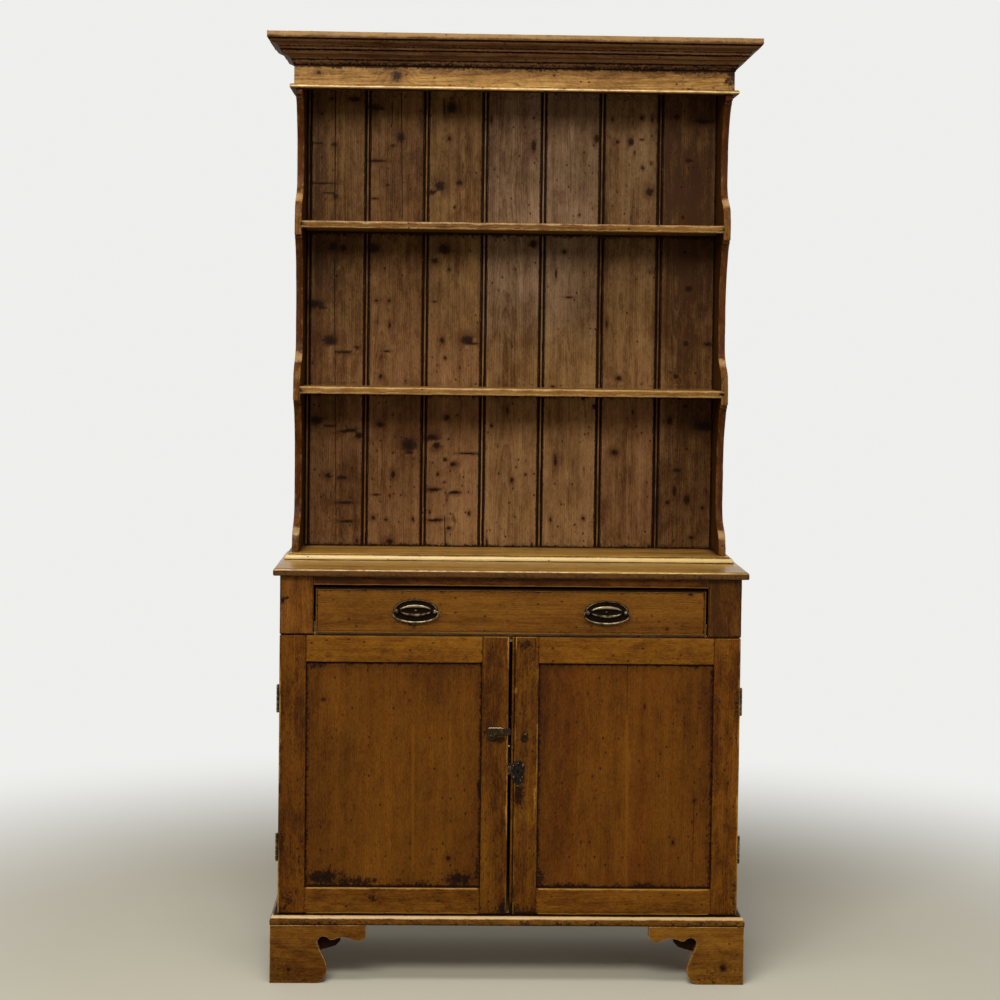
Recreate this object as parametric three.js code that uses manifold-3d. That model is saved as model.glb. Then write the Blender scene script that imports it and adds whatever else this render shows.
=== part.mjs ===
// Welsh dresser in waxed pine: an open plate rack on a base with one drawer and two framed doors.
// Millimetres. X to the right, Y to the back, Z up from the floor. Azimuth 0 looks at the front.
// Each piece is laid out with the back plane at y = 0, and the group is then centred front to back.

import * as THREE from 'three';
import { mergeVertices } from 'three/addons/utils/BufferGeometryUtils.js';
import Module from 'manifold-3d';

// Clearances
const jointGap = 0.3; // between pieces that are glued, nailed or seated
const swingGap = 1; // between a door and the carcase edge that it closes on
const guideGap = 1; // between the drawer box and the guides beside it
const cutOverrun = 5; // how far a cutting solid runs past what it cuts

// Facets
const arcSteps = 6;
const curveSteps = 8;
const roundSteps = 20;
const knobSteps = 14;
const ovalSteps = 16;
const bailSteps = 56;

// Base carcase
const carcaseWidth = 990;
const carcaseSideThickness = 18;
const faceDepth = 392; // back plane to the face of the doors and the drawer posts
const boardThickness = 18; // carcase bottom, divider frame and inner shelf
const housingDepth = 6;
const basePanelThickness = 9;

// Base top
const baseTopThickness = 16;
const baseTopFrontOverhang = 18; // past the face of the doors
const baseTopSideOverhang = 14;
const baseTopNoseRadius = 7;

// Plinth moulding and bracket feet
const footHeight = 126;
const footFrontLength = 206;
const footSideGap = 54; // between the front and rear brackets on a side
const footRearLength = 110;
const bracketThickness = 22;
const plinthOverhang = 15; // past the carcase and the door face
const plinthHeight = 20;
const plinthFlat = 4;
const plinthLip = 3;
const scallopRadius = 13.4;
const footBlockSize = 46;
const footBlockLift = 9;

// Doors
const doorThickness = 20;
const doorBottomGap = 2; // above the plinth moulding
const doorHeight = 600;
const doorMeetingGap = 7;
const stileWidth = 57;
const railHeight = 56;
const panelThickness = 7;
const panelRecess = 6.5;
const panelHousing = 8;
const meetingBeadWidth = 4.6;
const meetingQuirkWidth = 3;
const meetingQuirkDepth = 3;

// Drawer, its posts, rail and runners
const postWidth = 72;
const postDoorGap = 3; // over the doors
const dividerRise = 5; // upper face of the divider frame over the top of the doors
const topRailHeight = 20;
const dividerRailWidth = 60;
const guideWidth = 15;
const guideHeight = 22;
const guideInset = 14; // from each end of the runners
const drawerHeight = 97;
const drawerSideGap = 4.5; // between the drawer front and a post
const drawerTopGap = 6;
const drawerLift = 1; // drawer front over the divider frame
const drawerRunGap = 0.4; // drawer sides over the runners
const drawerFrontThickness = 20;
const drawerSideThickness = 12;
const drawerSideInset = 4.5; // from the end of the drawer front to the drawer side
const drawerSideDrop = 12; // drawer side below the top of the drawer front
const drawerBackDrop = 6; // drawer back below the drawer side
const drawerBackGap = 18; // behind the drawer box
const drawerBottomThickness = 6;
const drawerBottomLift = 10;
const drawerGroove = 5;
const cockBeadWidth = 3.2;
const cockBeadProud = 1.6;

// Inner shelf of the cupboard
const cupboardLowerSpace = 293; // clear height under the inner shelf
const innerShelfSetback = 42; // behind the carcase edge

// Hinges
const hingeLength = 60;
const hingeInset = 139; // door end to the middle of the hinge
const hingeLeafWidth = 15.5;
const hingeLeafThickness = 1.6;
const knuckleRadius = 3.4;
const knuckleFaceGap = 0.4; // between the knuckles and the carcase side
const knuckleGap = 0.3;
const knuckleCount = 5;
const hingePinRadius = 1.5;

// Drawer handles
const handleSpacing = 410; // between the two handles
const handlePlateWidth = 96;
const handlePlateHeight = 51;
const handlePlateThickness = 1.8;
const handleLensWidth = 64;
const handleLensHeight = 29;
const handleLensThickness = 1.6;
const handlePostSpacing = 82;
const handlePostRadius = 3.4;
const handleKnobRadius = 5;
const handleStandoff = 7.5; // plate face to the axis of the bail
const bailRodRadius = 2;
const bailDrop = 23;
const bailBendRadius = 3.5;
const bailSideGap = 0.6; // between the bail and the outer side of a knob
const bailPinInset = 1; // how far a bail end stops short of a knob's inner side

// Turn latch on the left door
const latchRise = 385; // foot of the door to the pivot
const latchPivotInset = 36; // pivot to the meeting edge of the left door
const latchTipGap = 1; // tip to the right door
const latchThickness = 2.4;
const latchBossRadius = 9;
const latchArmHeight = 17;
const latchArmRise = 3; // underside of the arm over the pivot
const latchTipRadius = 5;
const latchPinRadius = 2;
const latchPinLength = 12;
const latchHeadRadius = 4.4;
const latchHeadThickness = 1.6;

// Lock on the right door
const lockRise = 311; // foot of the door to the keyhole
const lockInset = 15; // meeting edge of the right door to the keyhole
const escutcheonWidth = 32;
const escutcheonHeight = 62;
const escutcheonThickness = 1.4;
const keyholeRadius = 3.2;
const keySlotWidth = 2.4;
const keySlotDrop = 9;
const keyholeDepth = 14;
const lockBarrelWidth = 9;
const lockBarrelHeight = 20;
const lockCaseWidth = 40;
const lockCaseHeight = 58;
const lockCaseDepth = 13;
const lockCaseInset = 3; // meeting edge of the right door to the case

// Rack
const rackWidth = 970;
const rackSideThickness = 16;
const rackTipDepth = 178; // back plane to the tips of the shaped sides
const rackWaistRecess = 74; // tips to the waist
const rackBaseThickness = 14;
const rackBaseFrontOverhang = 37;
const rackBaseSideOverhang = 14;
const rackBaseNoseRadius = 9;
const rackBaseLip = 2.5;
const rackShelfThickness = 16;
const rackShelfHousing = 8.5;
const lowerSpace = 353; // clear height over the rack base
const middleSpace = 352; // clear height over the lower shelf
const upperSpace = 290; // clear height over the upper shelf, up to the frieze
const tipBlockHeight = 47; // square block round each shelf end
const footTipHeight = 20; // square tip over the rack base
const headTipHeight = 12; // square tip under the frieze
const tipStep = 14; // step back under each block
const tipStepHeight = 7;
const tipNib = 4; // step back over each block
const flareRise = 88; // curve over a block, up to the waist
const sweepDrop = 150; // curve under a block, down to the waist
const rackCaseDrop = 12; // sides and frieze below the top of the cornice
const rackTopThickness = 18;
const backBoardThickness = 12;
const backBoardCount = 7;
const backBeadWidth = 6.5;
const backQuirkWidth = 2;
const backQuirkDepth = 3.4;
const backTongueLength = 6;
const backTongueThickness = 4;

// Frieze and cornice
const friezeThickness = 20;
const friezeProud = 3; // past the outer faces and tips of the sides
const friezeHeight = 51; // its lower edge to the cornice, with the bead
const friezeBeadHeight = 10;
const friezeBeadProjection = 10;
const corniceHeight = 68;
const corniceProjection = 56;

// Materials: pine in the tones of its parts, and the metals
const pine = {
  rack: [0x8a5426, 0.55],
  back: [0x5c3317, 0.62],
  frieze: [0xa9713a, 0.5],
  cornice: [0x6b3c1c, 0.5],
  base: [0x8e5526, 0.5],
  top: [0x9a6431, 0.45],
  plinth: [0xa8702f, 0.45],
  drawer: [0x93602e, 0.5],
  frame: [0x8c5526, 0.5],
  panel: [0x995c28, 0.48],
  inside: [0xa07a4c, 0.7],
};
const metals = {
  brass: [0x7c6234, 0.38],
  iron: [0x2a2420, 0.55],
};

function materialOf([colour, roughness], metalness) {
  return new THREE.MeshStandardMaterial({ color: colour, roughness, metalness });
}

const materials = {};
for (const [name, tone] of Object.entries(pine)) {
  materials[name] = materialOf(tone, 0);
}
for (const [name, tone] of Object.entries(metals)) {
  materials[name] = materialOf(tone, 1);
}

// Planes and places worked out from the sizes above
const halfCarcase = carcaseWidth / 2;
const halfRack = rackWidth / 2;
const carcaseInner = halfCarcase - carcaseSideThickness;
const rackInner = halfRack - rackSideThickness;
const doorBack = faceDepth - doorThickness;
const carcaseEdge = doorBack - swingGap;
const hingeAxisDepth = doorBack - swingGap / 2;
const hingeAxisX = halfCarcase + knuckleRadius + knuckleFaceGap;
const baseTopDepth = faceDepth + baseTopFrontOverhang;
const footSideLength = (faceDepth + plinthOverhang - footSideGap) / 2;
const plinthTop = footHeight + plinthHeight;
const innerShelfTop = plinthTop + cupboardLowerSpace + boardThickness;
const doorBottom = plinthTop + doorBottomGap;
const doorTop = doorBottom + doorHeight;
const dividerTop = doorTop + dividerRise;
const drawerBottomZ = dividerTop + drawerLift;
const drawerTopZ = drawerBottomZ + drawerHeight;
const topRailBottom = drawerTopZ + drawerTopGap;
const carcaseTop = topRailBottom + topRailHeight;
const baseTopHeight = carcaseTop + baseTopThickness;
const doorWidth = (carcaseWidth - doorMeetingGap) / 2;
const meetingEdge = doorMeetingGap / 2;
const postBottom = doorTop + postDoorGap;
const postInner = halfCarcase - postWidth;
const drawerHalf = postInner - drawerSideGap;
const drawerBack = faceDepth - drawerFrontThickness;
const drawerSideOuter = drawerHalf - drawerSideInset;
const drawerSideInner = drawerSideOuter - drawerSideThickness;
const drawerSideBottom = dividerTop + drawerRunGap;
const drawerSideTop = drawerTopZ - drawerSideDrop;
const drawerFloor = drawerSideBottom + drawerBottomLift;
const drawerEnd = basePanelThickness + drawerBackGap;
const latchHeight = doorBottom + latchRise;
const lockHeight = doorBottom + lockRise;
const rackWaistDepth = rackTipDepth - rackWaistRecess;
const rackBaseDepth = rackTipDepth + rackBaseFrontOverhang;
const rackFloor = baseTopHeight + rackBaseThickness;
const lowerShelfTop = rackFloor + lowerSpace + rackShelfThickness;
const upperShelfTop = lowerShelfTop + middleSpace + rackShelfThickness;
const friezeBottom = upperShelfTop + upperSpace;
const corniceBottom = friezeBottom + friezeHeight;
const corniceTop = corniceBottom + corniceHeight;
const rackCaseTop = corniceTop - rackCaseDrop;
const rackTopUnder = corniceBottom - rackTopThickness;
const friezeFront = rackTipDepth + friezeProud;
const friezeBack = friezeFront - friezeThickness;
const friezeEnd = halfRack + friezeProud;
const handleAxisDepth = faceDepth + handlePlateThickness + handleStandoff;
const handleHeight = (drawerBottomZ + drawerTopZ) / 2;

// Turns a closed geometry into a solid that can be cut and joined.
function solidOf(geometry) {
  const plain = geometry.clone();
  plain.deleteAttribute('normal');
  plain.deleteAttribute('uv');
  const merged = mergeVertices(plain);
  const mesh = new wasm.Mesh({
    numProp: 3,
    vertProperties: new Float32Array(merged.attributes.position.array),
    triVerts: new Uint32Array(merged.index.array),
  });
  return new wasm.Manifold(mesh);
}

// Turns a solid back into a geometry.
function geometryOf(solid) {
  const { vertProperties, triVerts } = solid.getMesh();
  const geometry = new THREE.BufferGeometry();
  geometry.setAttribute('position', new THREE.BufferAttribute(new Float32Array(vertProperties), 3));
  geometry.setIndex(new THREE.BufferAttribute(new Uint32Array(triVerts), 1));
  return geometry;
}

function joined(first, ...others) {
  return geometryOf(others.reduce((sum, other) => sum.add(solidOf(other)), solidOf(first)));
}

function cut(body, ...tools) {
  return geometryOf(tools.reduce((rest, tool) => rest.subtract(solidOf(tool)), solidOf(body)));
}

function common(first, second) {
  return geometryOf(solidOf(first).intersect(solidOf(second)));
}

// A square-edged board between two values on each axis. Depth is measured from the back plane.
function slab([xLow, xHigh], [nearDepth, farDepth], [zLow, zHigh]) {
  const geometry = new THREE.BoxGeometry(xHigh - xLow, farDepth - nearDepth, zHigh - zLow);
  geometry.translate((xLow + xHigh) / 2, -(nearDepth + farDepth) / 2, (zLow + zHigh) / 2);
  return geometry;
}

// A slab given for the right-hand side, laid on the side that is asked for.
function sided(side, [inner, outer], depths, heights) {
  const xs = [side * inner, side * outer].sort((a, b) => a - b);
  return slab(xs, depths, heights);
}

function extruded(shape, length, steps = curveSteps) {
  const options = { depth: length, bevelEnabled: false, curveSegments: steps };
  return new THREE.ExtrudeGeometry(shape, options);
}

// An outline in x and y, extruded upwards between two heights.
function upright(shape, [zLow, zHigh]) {
  return extruded(shape, zHigh - zLow).translate(0, 0, zLow);
}

// An outline in x and z, extruded from the nearer to the farther depth before the back plane.
function facing(shape, [nearDepth, farDepth], steps = curveSteps) {
  const turn = new THREE.Matrix4().makeRotationX(Math.PI / 2);
  return extruded(shape, farDepth - nearDepth, steps).applyMatrix4(turn).translate(0, -nearDepth, 0);
}

// An outline in depth and z, extruded along x. The outline's first axis is the depth.
function lengthwise(shape, [xLow, xHigh]) {
  const turn = new THREE.Matrix4().set(0, 0, -1, 0, -1, 0, 0, 0, 0, 1, 0, 0, 0, 0, 0, 1);
  return extruded(shape, xHigh - xLow).applyMatrix4(turn).translate(xHigh, 0, 0);
}

function polygon(points) {
  return new THREE.Shape(points.map(([a, b]) => new THREE.Vector2(a, b)));
}

function ellipse(centreX, centreZ, width, height) {
  const shape = new THREE.Shape();
  shape.absellipse(centreX, centreZ, width / 2, height / 2, 0, 2 * Math.PI);
  return shape;
}

// A cylinder with its axis along x, y or z between two places on that axis.
function rod(axis, radius, [low, high], centre, steps = roundSteps) {
  const geometry = new THREE.CylinderGeometry(radius, radius, high - low, steps);
  const middle = (low + high) / 2;
  if (axis === 'x') {
    return geometry.rotateZ(Math.PI / 2).translate(middle, centre.y, centre.z);
  }
  if (axis === 'z') {
    return geometry.rotateX(Math.PI / 2).translate(centre.x, centre.y, middle);
  }
  return geometry.translate(centre.x, middle, centre.z);
}

// A moulding run round the front and both sides, mitred at the corners and cut square at the back.
// The profile gives how far each point stands out from the inner line, and its height.
function mitredBand(profile, innerHalf, innerDepth) {
  const section = profile.getPoints(curveSteps);
  if (THREE.ShapeUtils.isClockWise(section)) {
    section.reverse();
  }
  if (section[0].equals(section[section.length - 1])) {
    section.pop();
  }
  const stations = [
    (out) => [-innerHalf - out, 0],
    (out) => [-innerHalf - out, -innerDepth - out],
    (out) => [innerHalf + out, -innerDepth - out],
    (out) => [innerHalf + out, 0],
  ];
  const positions = stations.flatMap((place) => section.flatMap(({ x, y }) => [...place(x), y]));
  const count = section.length;
  const indices = [];
  for (let run = 0; run < stations.length - 1; run += 1) {
    for (let i = 0; i < count; i += 1) {
      const next = (i + 1) % count;
      const [a, b] = [run * count + i, run * count + next];
      indices.push(a, a + count, b + count, a, b + count, b);
    }
  }
  const last = (stations.length - 1) * count;
  for (const [a, b, c] of THREE.ShapeUtils.triangulateShape(section, [])) {
    indices.push(a, b, c, last + c, last + b, last + a);
  }
  const geometry = new THREE.BufferGeometry();
  geometry.setAttribute('position', new THREE.Float32BufferAttribute(positions, 3));
  geometry.setIndex(indices);
  return geometry;
}

// A board whose front and side edges are worked to one edge profile, mitred at the corners.
function nosedBoard(edge, half, depth, heights) {
  const [low, high] = heights;
  const long = new THREE.Shape();
  long.moveTo(0, low);
  edge(long, (inset, z) => [depth - inset, z]);
  long.lineTo(0, high);
  const wide = new THREE.Shape();
  wide.moveTo(0, low);
  edge(wide, (inset, z) => [half - inset, z]);
  wide.lineTo(0, high);
  const left = new THREE.Shape();
  left.moveTo(0, low);
  edge(left, (inset, z) => [inset - half, z]);
  left.lineTo(0, high);
  const across = joined(facing(wide, [0, depth]), facing(left, [0, depth]));
  return common(lengthwise(long, [-half, half]), across);
}

const wasm = await Module();
wasm.setup();

const dresser = new THREE.Group();
dresser.name = 'welsh_dresser';
dresser.position.y = baseTopDepth / 2;

function add(group, name, geometry, material) {
  const mesh = new THREE.Mesh(geometry, material);
  mesh.name = name;
  group.add(mesh);
  return mesh;
}

const sides = [['left', -1], ['right', 1]];

// Base: bracket feet and plinth

// The cut-out of a bracket foot, from its outer corner, as shares of its length and height.
const bracketShares = {
  end: [1, 0.83],
  noseHold: [0.985, 0.725],
  nose: [0.92, 0.725],
  riseHolds: [[0.86, 0.725], [0.83, 0.79]],
  rise: [0.77, 0.79],
  cuspHold: [0.71, 0.79],
  cusp: [0.66, 0.745],
  scallop: [0.56, 0.7],
  swellHolds: [[0.53, 0.5], [0.6, 0.38]],
  swell: [0.595, 0.23],
  toeHolds: [[0.595, 0.1], [0.53, 0.01]],
  toe: [0.46, 0],
};
const scallopArc = [0.15 * Math.PI, 1.2 * Math.PI];

// Outline of a bracket with its square corner at `corner`, running in the direction `way`.
function bracketOutline(corner, way, length) {
  const at = ([u, z]) => [corner + way * length * u, footHeight * z];
  const shares = bracketShares;
  const shape = new THREE.Shape();
  shape.moveTo(corner, 0);
  shape.lineTo(corner, footHeight);
  shape.lineTo(corner + way * length, footHeight);
  shape.lineTo(...at(shares.end));
  shape.quadraticCurveTo(...at(shares.noseHold), ...at(shares.nose));
  shape.bezierCurveTo(...shares.riseHolds.flatMap(at), ...at(shares.rise));
  shape.quadraticCurveTo(...at(shares.cuspHold), ...at(shares.cusp));
  const [scallopX, scallopZ] = at(shares.scallop);
  for (let i = 0; i <= curveSteps; i += 1) {
    const angle = scallopArc[0] + ((scallopArc[1] - scallopArc[0]) * i) / curveSteps;
    const reach = scallopRadius * Math.cos(angle);
    shape.lineTo(scallopX + way * reach, scallopZ + scallopRadius * Math.sin(angle));
  }
  shape.bezierCurveTo(...shares.swellHolds.flatMap(at), ...at(shares.swell));
  shape.bezierCurveTo(...shares.toeHolds.flatMap(at), ...at(shares.toe));
  shape.closePath();
  return shape;
}

function frontFoot(side) {
  const outer = halfCarcase + plinthOverhang;
  const front = faceDepth + plinthOverhang;
  const inner = outer - bracketThickness;
  const back = front - bracketThickness;
  const frontArm = facing(bracketOutline(side * outer, -side, footFrontLength), [back, front]);
  const sideXs = [side * inner, side * outer].sort((a, b) => a - b);
  const sideArm = lengthwise(bracketOutline(front, -1, footSideLength), sideXs);
  const blockXs = [inner - footBlockSize, inner + jointGap];
  const blockDepths = [back - footBlockSize, back + jointGap];
  const block = sided(side, blockXs, blockDepths, [footBlockLift, footHeight]);
  return joined(frontArm, sideArm, block);
}

function rearFoot(side) {
  const outer = halfCarcase + plinthOverhang;
  const inner = outer - bracketThickness;
  const sideXs = [side * inner, side * outer].sort((a, b) => a - b);
  const sideArm = lengthwise(bracketOutline(0, 1, footSideLength), sideXs);
  const tapered = polygon([
    [side * outer, 0],
    [side * outer, footHeight],
    [side * (outer - footRearLength), footHeight],
    [side * (outer - footBlockSize), 0],
  ]);
  return joined(sideArm, facing(tapered, [0, bracketThickness]));
}

function plinthMoulding() {
  const low = footHeight + jointGap;
  const roundHeight = plinthHeight - plinthLip;
  const profile = new THREE.Shape();
  profile.moveTo(jointGap, low);
  profile.lineTo(plinthOverhang, low);
  profile.lineTo(plinthOverhang, footHeight + plinthLip);
  const shoulder = plinthTop - roundHeight / 2;
  const shoulderOut = plinthOverhang - plinthLip / 2;
  profile.quadraticCurveTo(plinthOverhang + plinthLip / 2, shoulder, shoulderOut, shoulder);
  profile.quadraticCurveTo(shoulderOut, plinthTop, plinthFlat, plinthTop);
  profile.lineTo(jointGap, plinthTop);
  const band = mitredBand(profile, halfCarcase, faceDepth);
  const railXs = [-halfCarcase - plinthFlat / 2, halfCarcase + plinthFlat / 2];
  const rail = slab(railXs, [carcaseEdge + jointGap, faceDepth + plinthFlat / 2], [low, plinthTop]);
  return joined(band, rail);
}

// Base: carcase

function hingeHeights() {
  return [doorBottom + hingeInset, doorTop - hingeInset];
}

// The shallow recess for a hinge leaf, cut into a face at the given depths.
function leafRecess(side, middle, depths) {
  const inner = halfCarcase - hingeLeafWidth - jointGap;
  const half = hingeLength / 2 + jointGap;
  return sided(side, [inner, halfCarcase + cutOverrun], depths, [middle - half, middle + half]);
}

// A housing in the inner face of a side, for a board between two heights.
function housing(side, inner, depth, [zLow, zHigh], farDepth) {
  const heights = [zLow - jointGap, zHigh + jointGap];
  return sided(side, [inner - cutOverrun, inner + depth], [-cutOverrun, farDepth], heights);
}

function baseSide(side) {
  const body = sided(
    side,
    [carcaseInner, halfCarcase],
    [0, carcaseEdge],
    [footHeight + jointGap, carcaseTop - jointGap],
  );
  const boards = [plinthTop, innerShelfTop, dividerTop];
  const housings = boards.map((top) =>
    housing(side, carcaseInner, housingDepth, [top - boardThickness, top], carcaseEdge + cutOverrun));
  const recessDepths = [carcaseEdge - hingeLeafThickness - jointGap, carcaseEdge + cutOverrun];
  const recesses = hingeHeights().map((middle) => leafRecess(side, middle, recessDepths));
  return cut(body, ...housings, ...recesses);
}

function housedBoard(top, frontDepth) {
  const half = carcaseInner + housingDepth - jointGap;
  const depths = [basePanelThickness + jointGap, frontDepth];
  return slab([-half, half], depths, [top - boardThickness, top]);
}

function basePanel() {
  const half = carcaseInner - jointGap;
  return slab([-half, half], [0, basePanelThickness], [footHeight + jointGap, carcaseTop - jointGap]);
}

// The divider over the doors: a frame of rails and runners, with a guide beside the drawer at each end.
function dividerFrame() {
  const body = housedBoard(dividerTop, carcaseEdge);
  const openHalf = drawerSideInner - dividerRailWidth;
  const openDepths = [basePanelThickness + dividerRailWidth, carcaseEdge - dividerRailWidth];
  const overrunHeights = [dividerTop - boardThickness - cutOverrun, dividerTop + cutOverrun];
  const frame = cut(body, slab([-openHalf, openHalf], openDepths, overrunHeights));
  const guideXs = [drawerSideOuter + guideGap, drawerSideOuter + guideGap + guideWidth];
  const guideDepths = [basePanelThickness + guideInset, carcaseEdge - guideInset];
  const guideHeights = [dividerTop - boardThickness / 2, dividerTop + guideHeight];
  const guides = sides.map(([, side]) => sided(side, guideXs, guideDepths, guideHeights));
  return joined(frame, ...guides);
}

function drawerPost(side) {
  const heights = [postBottom, carcaseTop - jointGap];
  return sided(side, [postInner, halfCarcase], [carcaseEdge + jointGap, faceDepth], heights);
}

function topRail() {
  const half = postInner - jointGap;
  const heights = [topRailBottom, carcaseTop - jointGap];
  return slab([-half, half], [carcaseEdge + jointGap, faceDepth], heights);
}

// Base top: a rounded nose, fuller above than below.
function baseTop() {
  const edge = (shape, at) => {
    const lowRadius = baseTopNoseRadius / 2;
    shape.lineTo(...at(lowRadius, carcaseTop));
    shape.quadraticCurveTo(...at(0, carcaseTop), ...at(0, carcaseTop + lowRadius));
    shape.lineTo(...at(0, baseTopHeight - baseTopNoseRadius));
    shape.quadraticCurveTo(...at(0, baseTopHeight), ...at(baseTopNoseRadius, baseTopHeight));
  };
  return nosedBoard(edge, halfCarcase + baseTopSideOverhang, baseTopDepth, [carcaseTop, baseTopHeight]);
}

const base = new THREE.Group();
dresser.add(base);
for (const [word, side] of sides) {
  add(base, `foot_front_${word}`, frontFoot(side), materials.plinth);
  add(base, `foot_rear_${word}`, rearFoot(side), materials.plinth);
  add(base, `base_side_${word}`, baseSide(side), materials.base);
  add(base, `drawer_post_${word}`, drawerPost(side), materials.base);
}
add(base, 'plinth_moulding', plinthMoulding(), materials.plinth);
add(base, 'base_bottom', housedBoard(plinthTop, carcaseEdge), materials.inside);
add(base, 'inner_shelf', housedBoard(innerShelfTop, carcaseEdge - innerShelfSetback), materials.inside);
add(base, 'base_back', basePanel(), materials.inside);
add(base, 'divider_frame', dividerFrame(), materials.inside);
add(base, 'top_rail', topRail(), materials.base);
add(base, 'base_top', baseTop(), materials.top);

// Drawer

function drawerFront() {
  const heights = [drawerBottomZ, drawerTopZ];
  const board = slab([-drawerHalf, drawerHalf], [drawerBack, faceDepth], heights);
  const bead = slab([-drawerHalf, drawerHalf], [drawerBack + jointGap, faceDepth + cockBeadProud], heights);
  const fieldHalf = drawerHalf - cockBeadWidth;
  const fieldHeights = [drawerBottomZ + cockBeadWidth, drawerTopZ - cockBeadWidth];
  const field = slab([-fieldHalf, fieldHalf], [faceDepth, faceDepth + cutOverrun], fieldHeights);
  return cut(joined(board, bead), field, drawerBottomGroove());
}

// What the drawer bottom takes out of the front and the sides.
function drawerBottomGroove() {
  const half = drawerSideInner + drawerGroove;
  const heights = [drawerFloor - jointGap, drawerFloor + drawerBottomThickness + jointGap];
  return slab([-half, half], [drawerEnd - cutOverrun, drawerBack + drawerGroove], heights);
}

function drawerSide(side) {
  const depths = [drawerEnd, drawerBack - jointGap];
  const heights = [drawerSideBottom, drawerSideTop];
  return cut(sided(side, [drawerSideInner, drawerSideOuter], depths, heights), drawerBottomGroove());
}

function drawerBottom() {
  const half = drawerSideInner + drawerGroove - jointGap;
  const depths = [drawerEnd, drawerBack + drawerGroove - jointGap];
  return slab([-half, half], depths, [drawerFloor, drawerFloor + drawerBottomThickness]);
}

function drawerRear() {
  const half = drawerSideInner - jointGap;
  const low = drawerFloor + drawerBottomThickness + jointGap;
  const depths = [drawerEnd, drawerEnd + drawerSideThickness];
  return slab([-half, half], depths, [low, drawerSideTop - drawerBackDrop]);
}

// Handles: an oval stepped plate with two knobbed posts, and a bail that hangs between them.

function handlePlate(middle) {
  const plateFace = faceDepth + handlePlateThickness;
  const plateDepths = [faceDepth + jointGap, plateFace];
  const plateShape = ellipse(middle, handleHeight, handlePlateWidth, handlePlateHeight);
  const plate = facing(plateShape, plateDepths, ovalSteps);
  const lensShape = ellipse(middle, handleHeight, handleLensWidth, handleLensHeight);
  const lens = facing(lensShape, [faceDepth + jointGap, plateFace + handleLensThickness], ovalSteps);
  const posts = [];
  const bores = [];
  for (const [, side] of sides) {
    const x = middle + (side * handlePostSpacing) / 2;
    const centre = new THREE.Vector3(x, -handleAxisDepth, handleHeight);
    posts.push(rod('y', handlePostRadius, [-handleAxisDepth, -faceDepth - jointGap], centre, knobSteps));
    const knob = new THREE.SphereGeometry(handleKnobRadius, knobSteps, Math.round(knobSteps / 2));
    posts.push(knob.translate(x, -handleAxisDepth, handleHeight));
    const reach = handleKnobRadius + cutOverrun;
    bores.push(rod('x', bailRodRadius + jointGap, [x - reach, x + reach], centre, knobSteps));
  }
  return cut(joined(plate, lens, ...posts), ...bores);
}

// The bail's centre line hangs from its two ends, which turn inwards through the knobs.
function bail(middle) {
  const knobOuter = handlePostSpacing / 2 + handleKnobRadius;
  const half = knobOuter + bailSideGap + bailRodRadius;
  const pinEnd = handlePostSpacing / 2 - handleKnobRadius + bailPinInset;
  const bend = bailBendRadius;
  const at = (x, z) => new THREE.Vector3(middle + x, -handleAxisDepth, handleHeight + z);
  const path = new THREE.CurvePath();
  path.add(new THREE.LineCurve3(at(-pinEnd, 0), at(-half + bend, 0)));
  path.add(new THREE.QuadraticBezierCurve3(at(-half + bend, 0), at(-half, 0), at(-half, -bend)));
  const holdDrop = (bailDrop * 4) / 3 - bend / 3;
  const [start, end] = [at(-half, -bend), at(half, -bend)];
  path.add(new THREE.CubicBezierCurve3(start, at(-half, -holdDrop), at(half, -holdDrop), end));
  path.add(new THREE.QuadraticBezierCurve3(at(half, -bend), at(half, 0), at(half - bend, 0)));
  path.add(new THREE.LineCurve3(at(half - bend, 0), at(pinEnd, 0)));
  const section = new THREE.Shape();
  section.absarc(0, 0, bailRodRadius, 0, 2 * Math.PI);
  return new THREE.ExtrudeGeometry(section, { steps: bailSteps, extrudePath: path, curveSegments: arcSteps });
}

const drawer = new THREE.Group();
dresser.add(drawer);
add(drawer, 'drawer_front', drawerFront(), materials.drawer);
add(drawer, 'drawer_bottom', drawerBottom(), materials.inside);
add(drawer, 'drawer_back', drawerRear(), materials.inside);
for (const [word, side] of sides) {
  const middle = (side * handleSpacing) / 2;
  add(drawer, `drawer_side_${word}`, drawerSide(side), materials.inside);
  add(drawer, `handle_plate_${word}`, handlePlate(middle), materials.brass);
  add(drawer, `handle_bail_${word}`, bail(middle), materials.brass);
}

// Doors: grooved stiles and rails round a flat panel. Places are given for the right-hand door.

const panelFront = faceDepth - panelRecess;
const panelBack = panelFront - panelThickness;
const grooveDepths = [panelBack - jointGap, panelFront + jointGap];
const doorInner = meetingEdge + stileWidth;
const doorOuter = halfCarcase - stileWidth;

function stileOutline(side, edge, inward, beaded) {
  const innerEdge = edge + inward * stileWidth;
  const grooveEnd = innerEdge - inward * panelHousing;
  const points = [
    [edge, doorBack],
    [innerEdge, doorBack],
    [innerEdge, grooveDepths[0]],
    [grooveEnd, grooveDepths[0]],
    [grooveEnd, grooveDepths[1]],
    [innerEdge, grooveDepths[1]],
    [innerEdge, faceDepth],
  ];
  if (beaded) {
    const quirkInner = edge + inward * (meetingBeadWidth + meetingQuirkWidth);
    const quirkFloor = faceDepth - meetingQuirkDepth;
    const radius = meetingBeadWidth / 2;
    points.push([quirkInner, faceDepth], [edge + inward * meetingBeadWidth, quirkFloor]);
    for (let i = 0; i <= arcSteps; i += 1) {
      const angle = (Math.PI * i) / arcSteps;
      const reach = radius - radius * Math.cos(Math.PI - angle);
      points.push([edge + inward * reach, faceDepth - radius + radius * Math.sin(angle)]);
    }
  } else {
    points.push([edge, faceDepth]);
  }
  return polygon(points.map(([x, depth]) => [side * x, -depth]));
}

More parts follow.
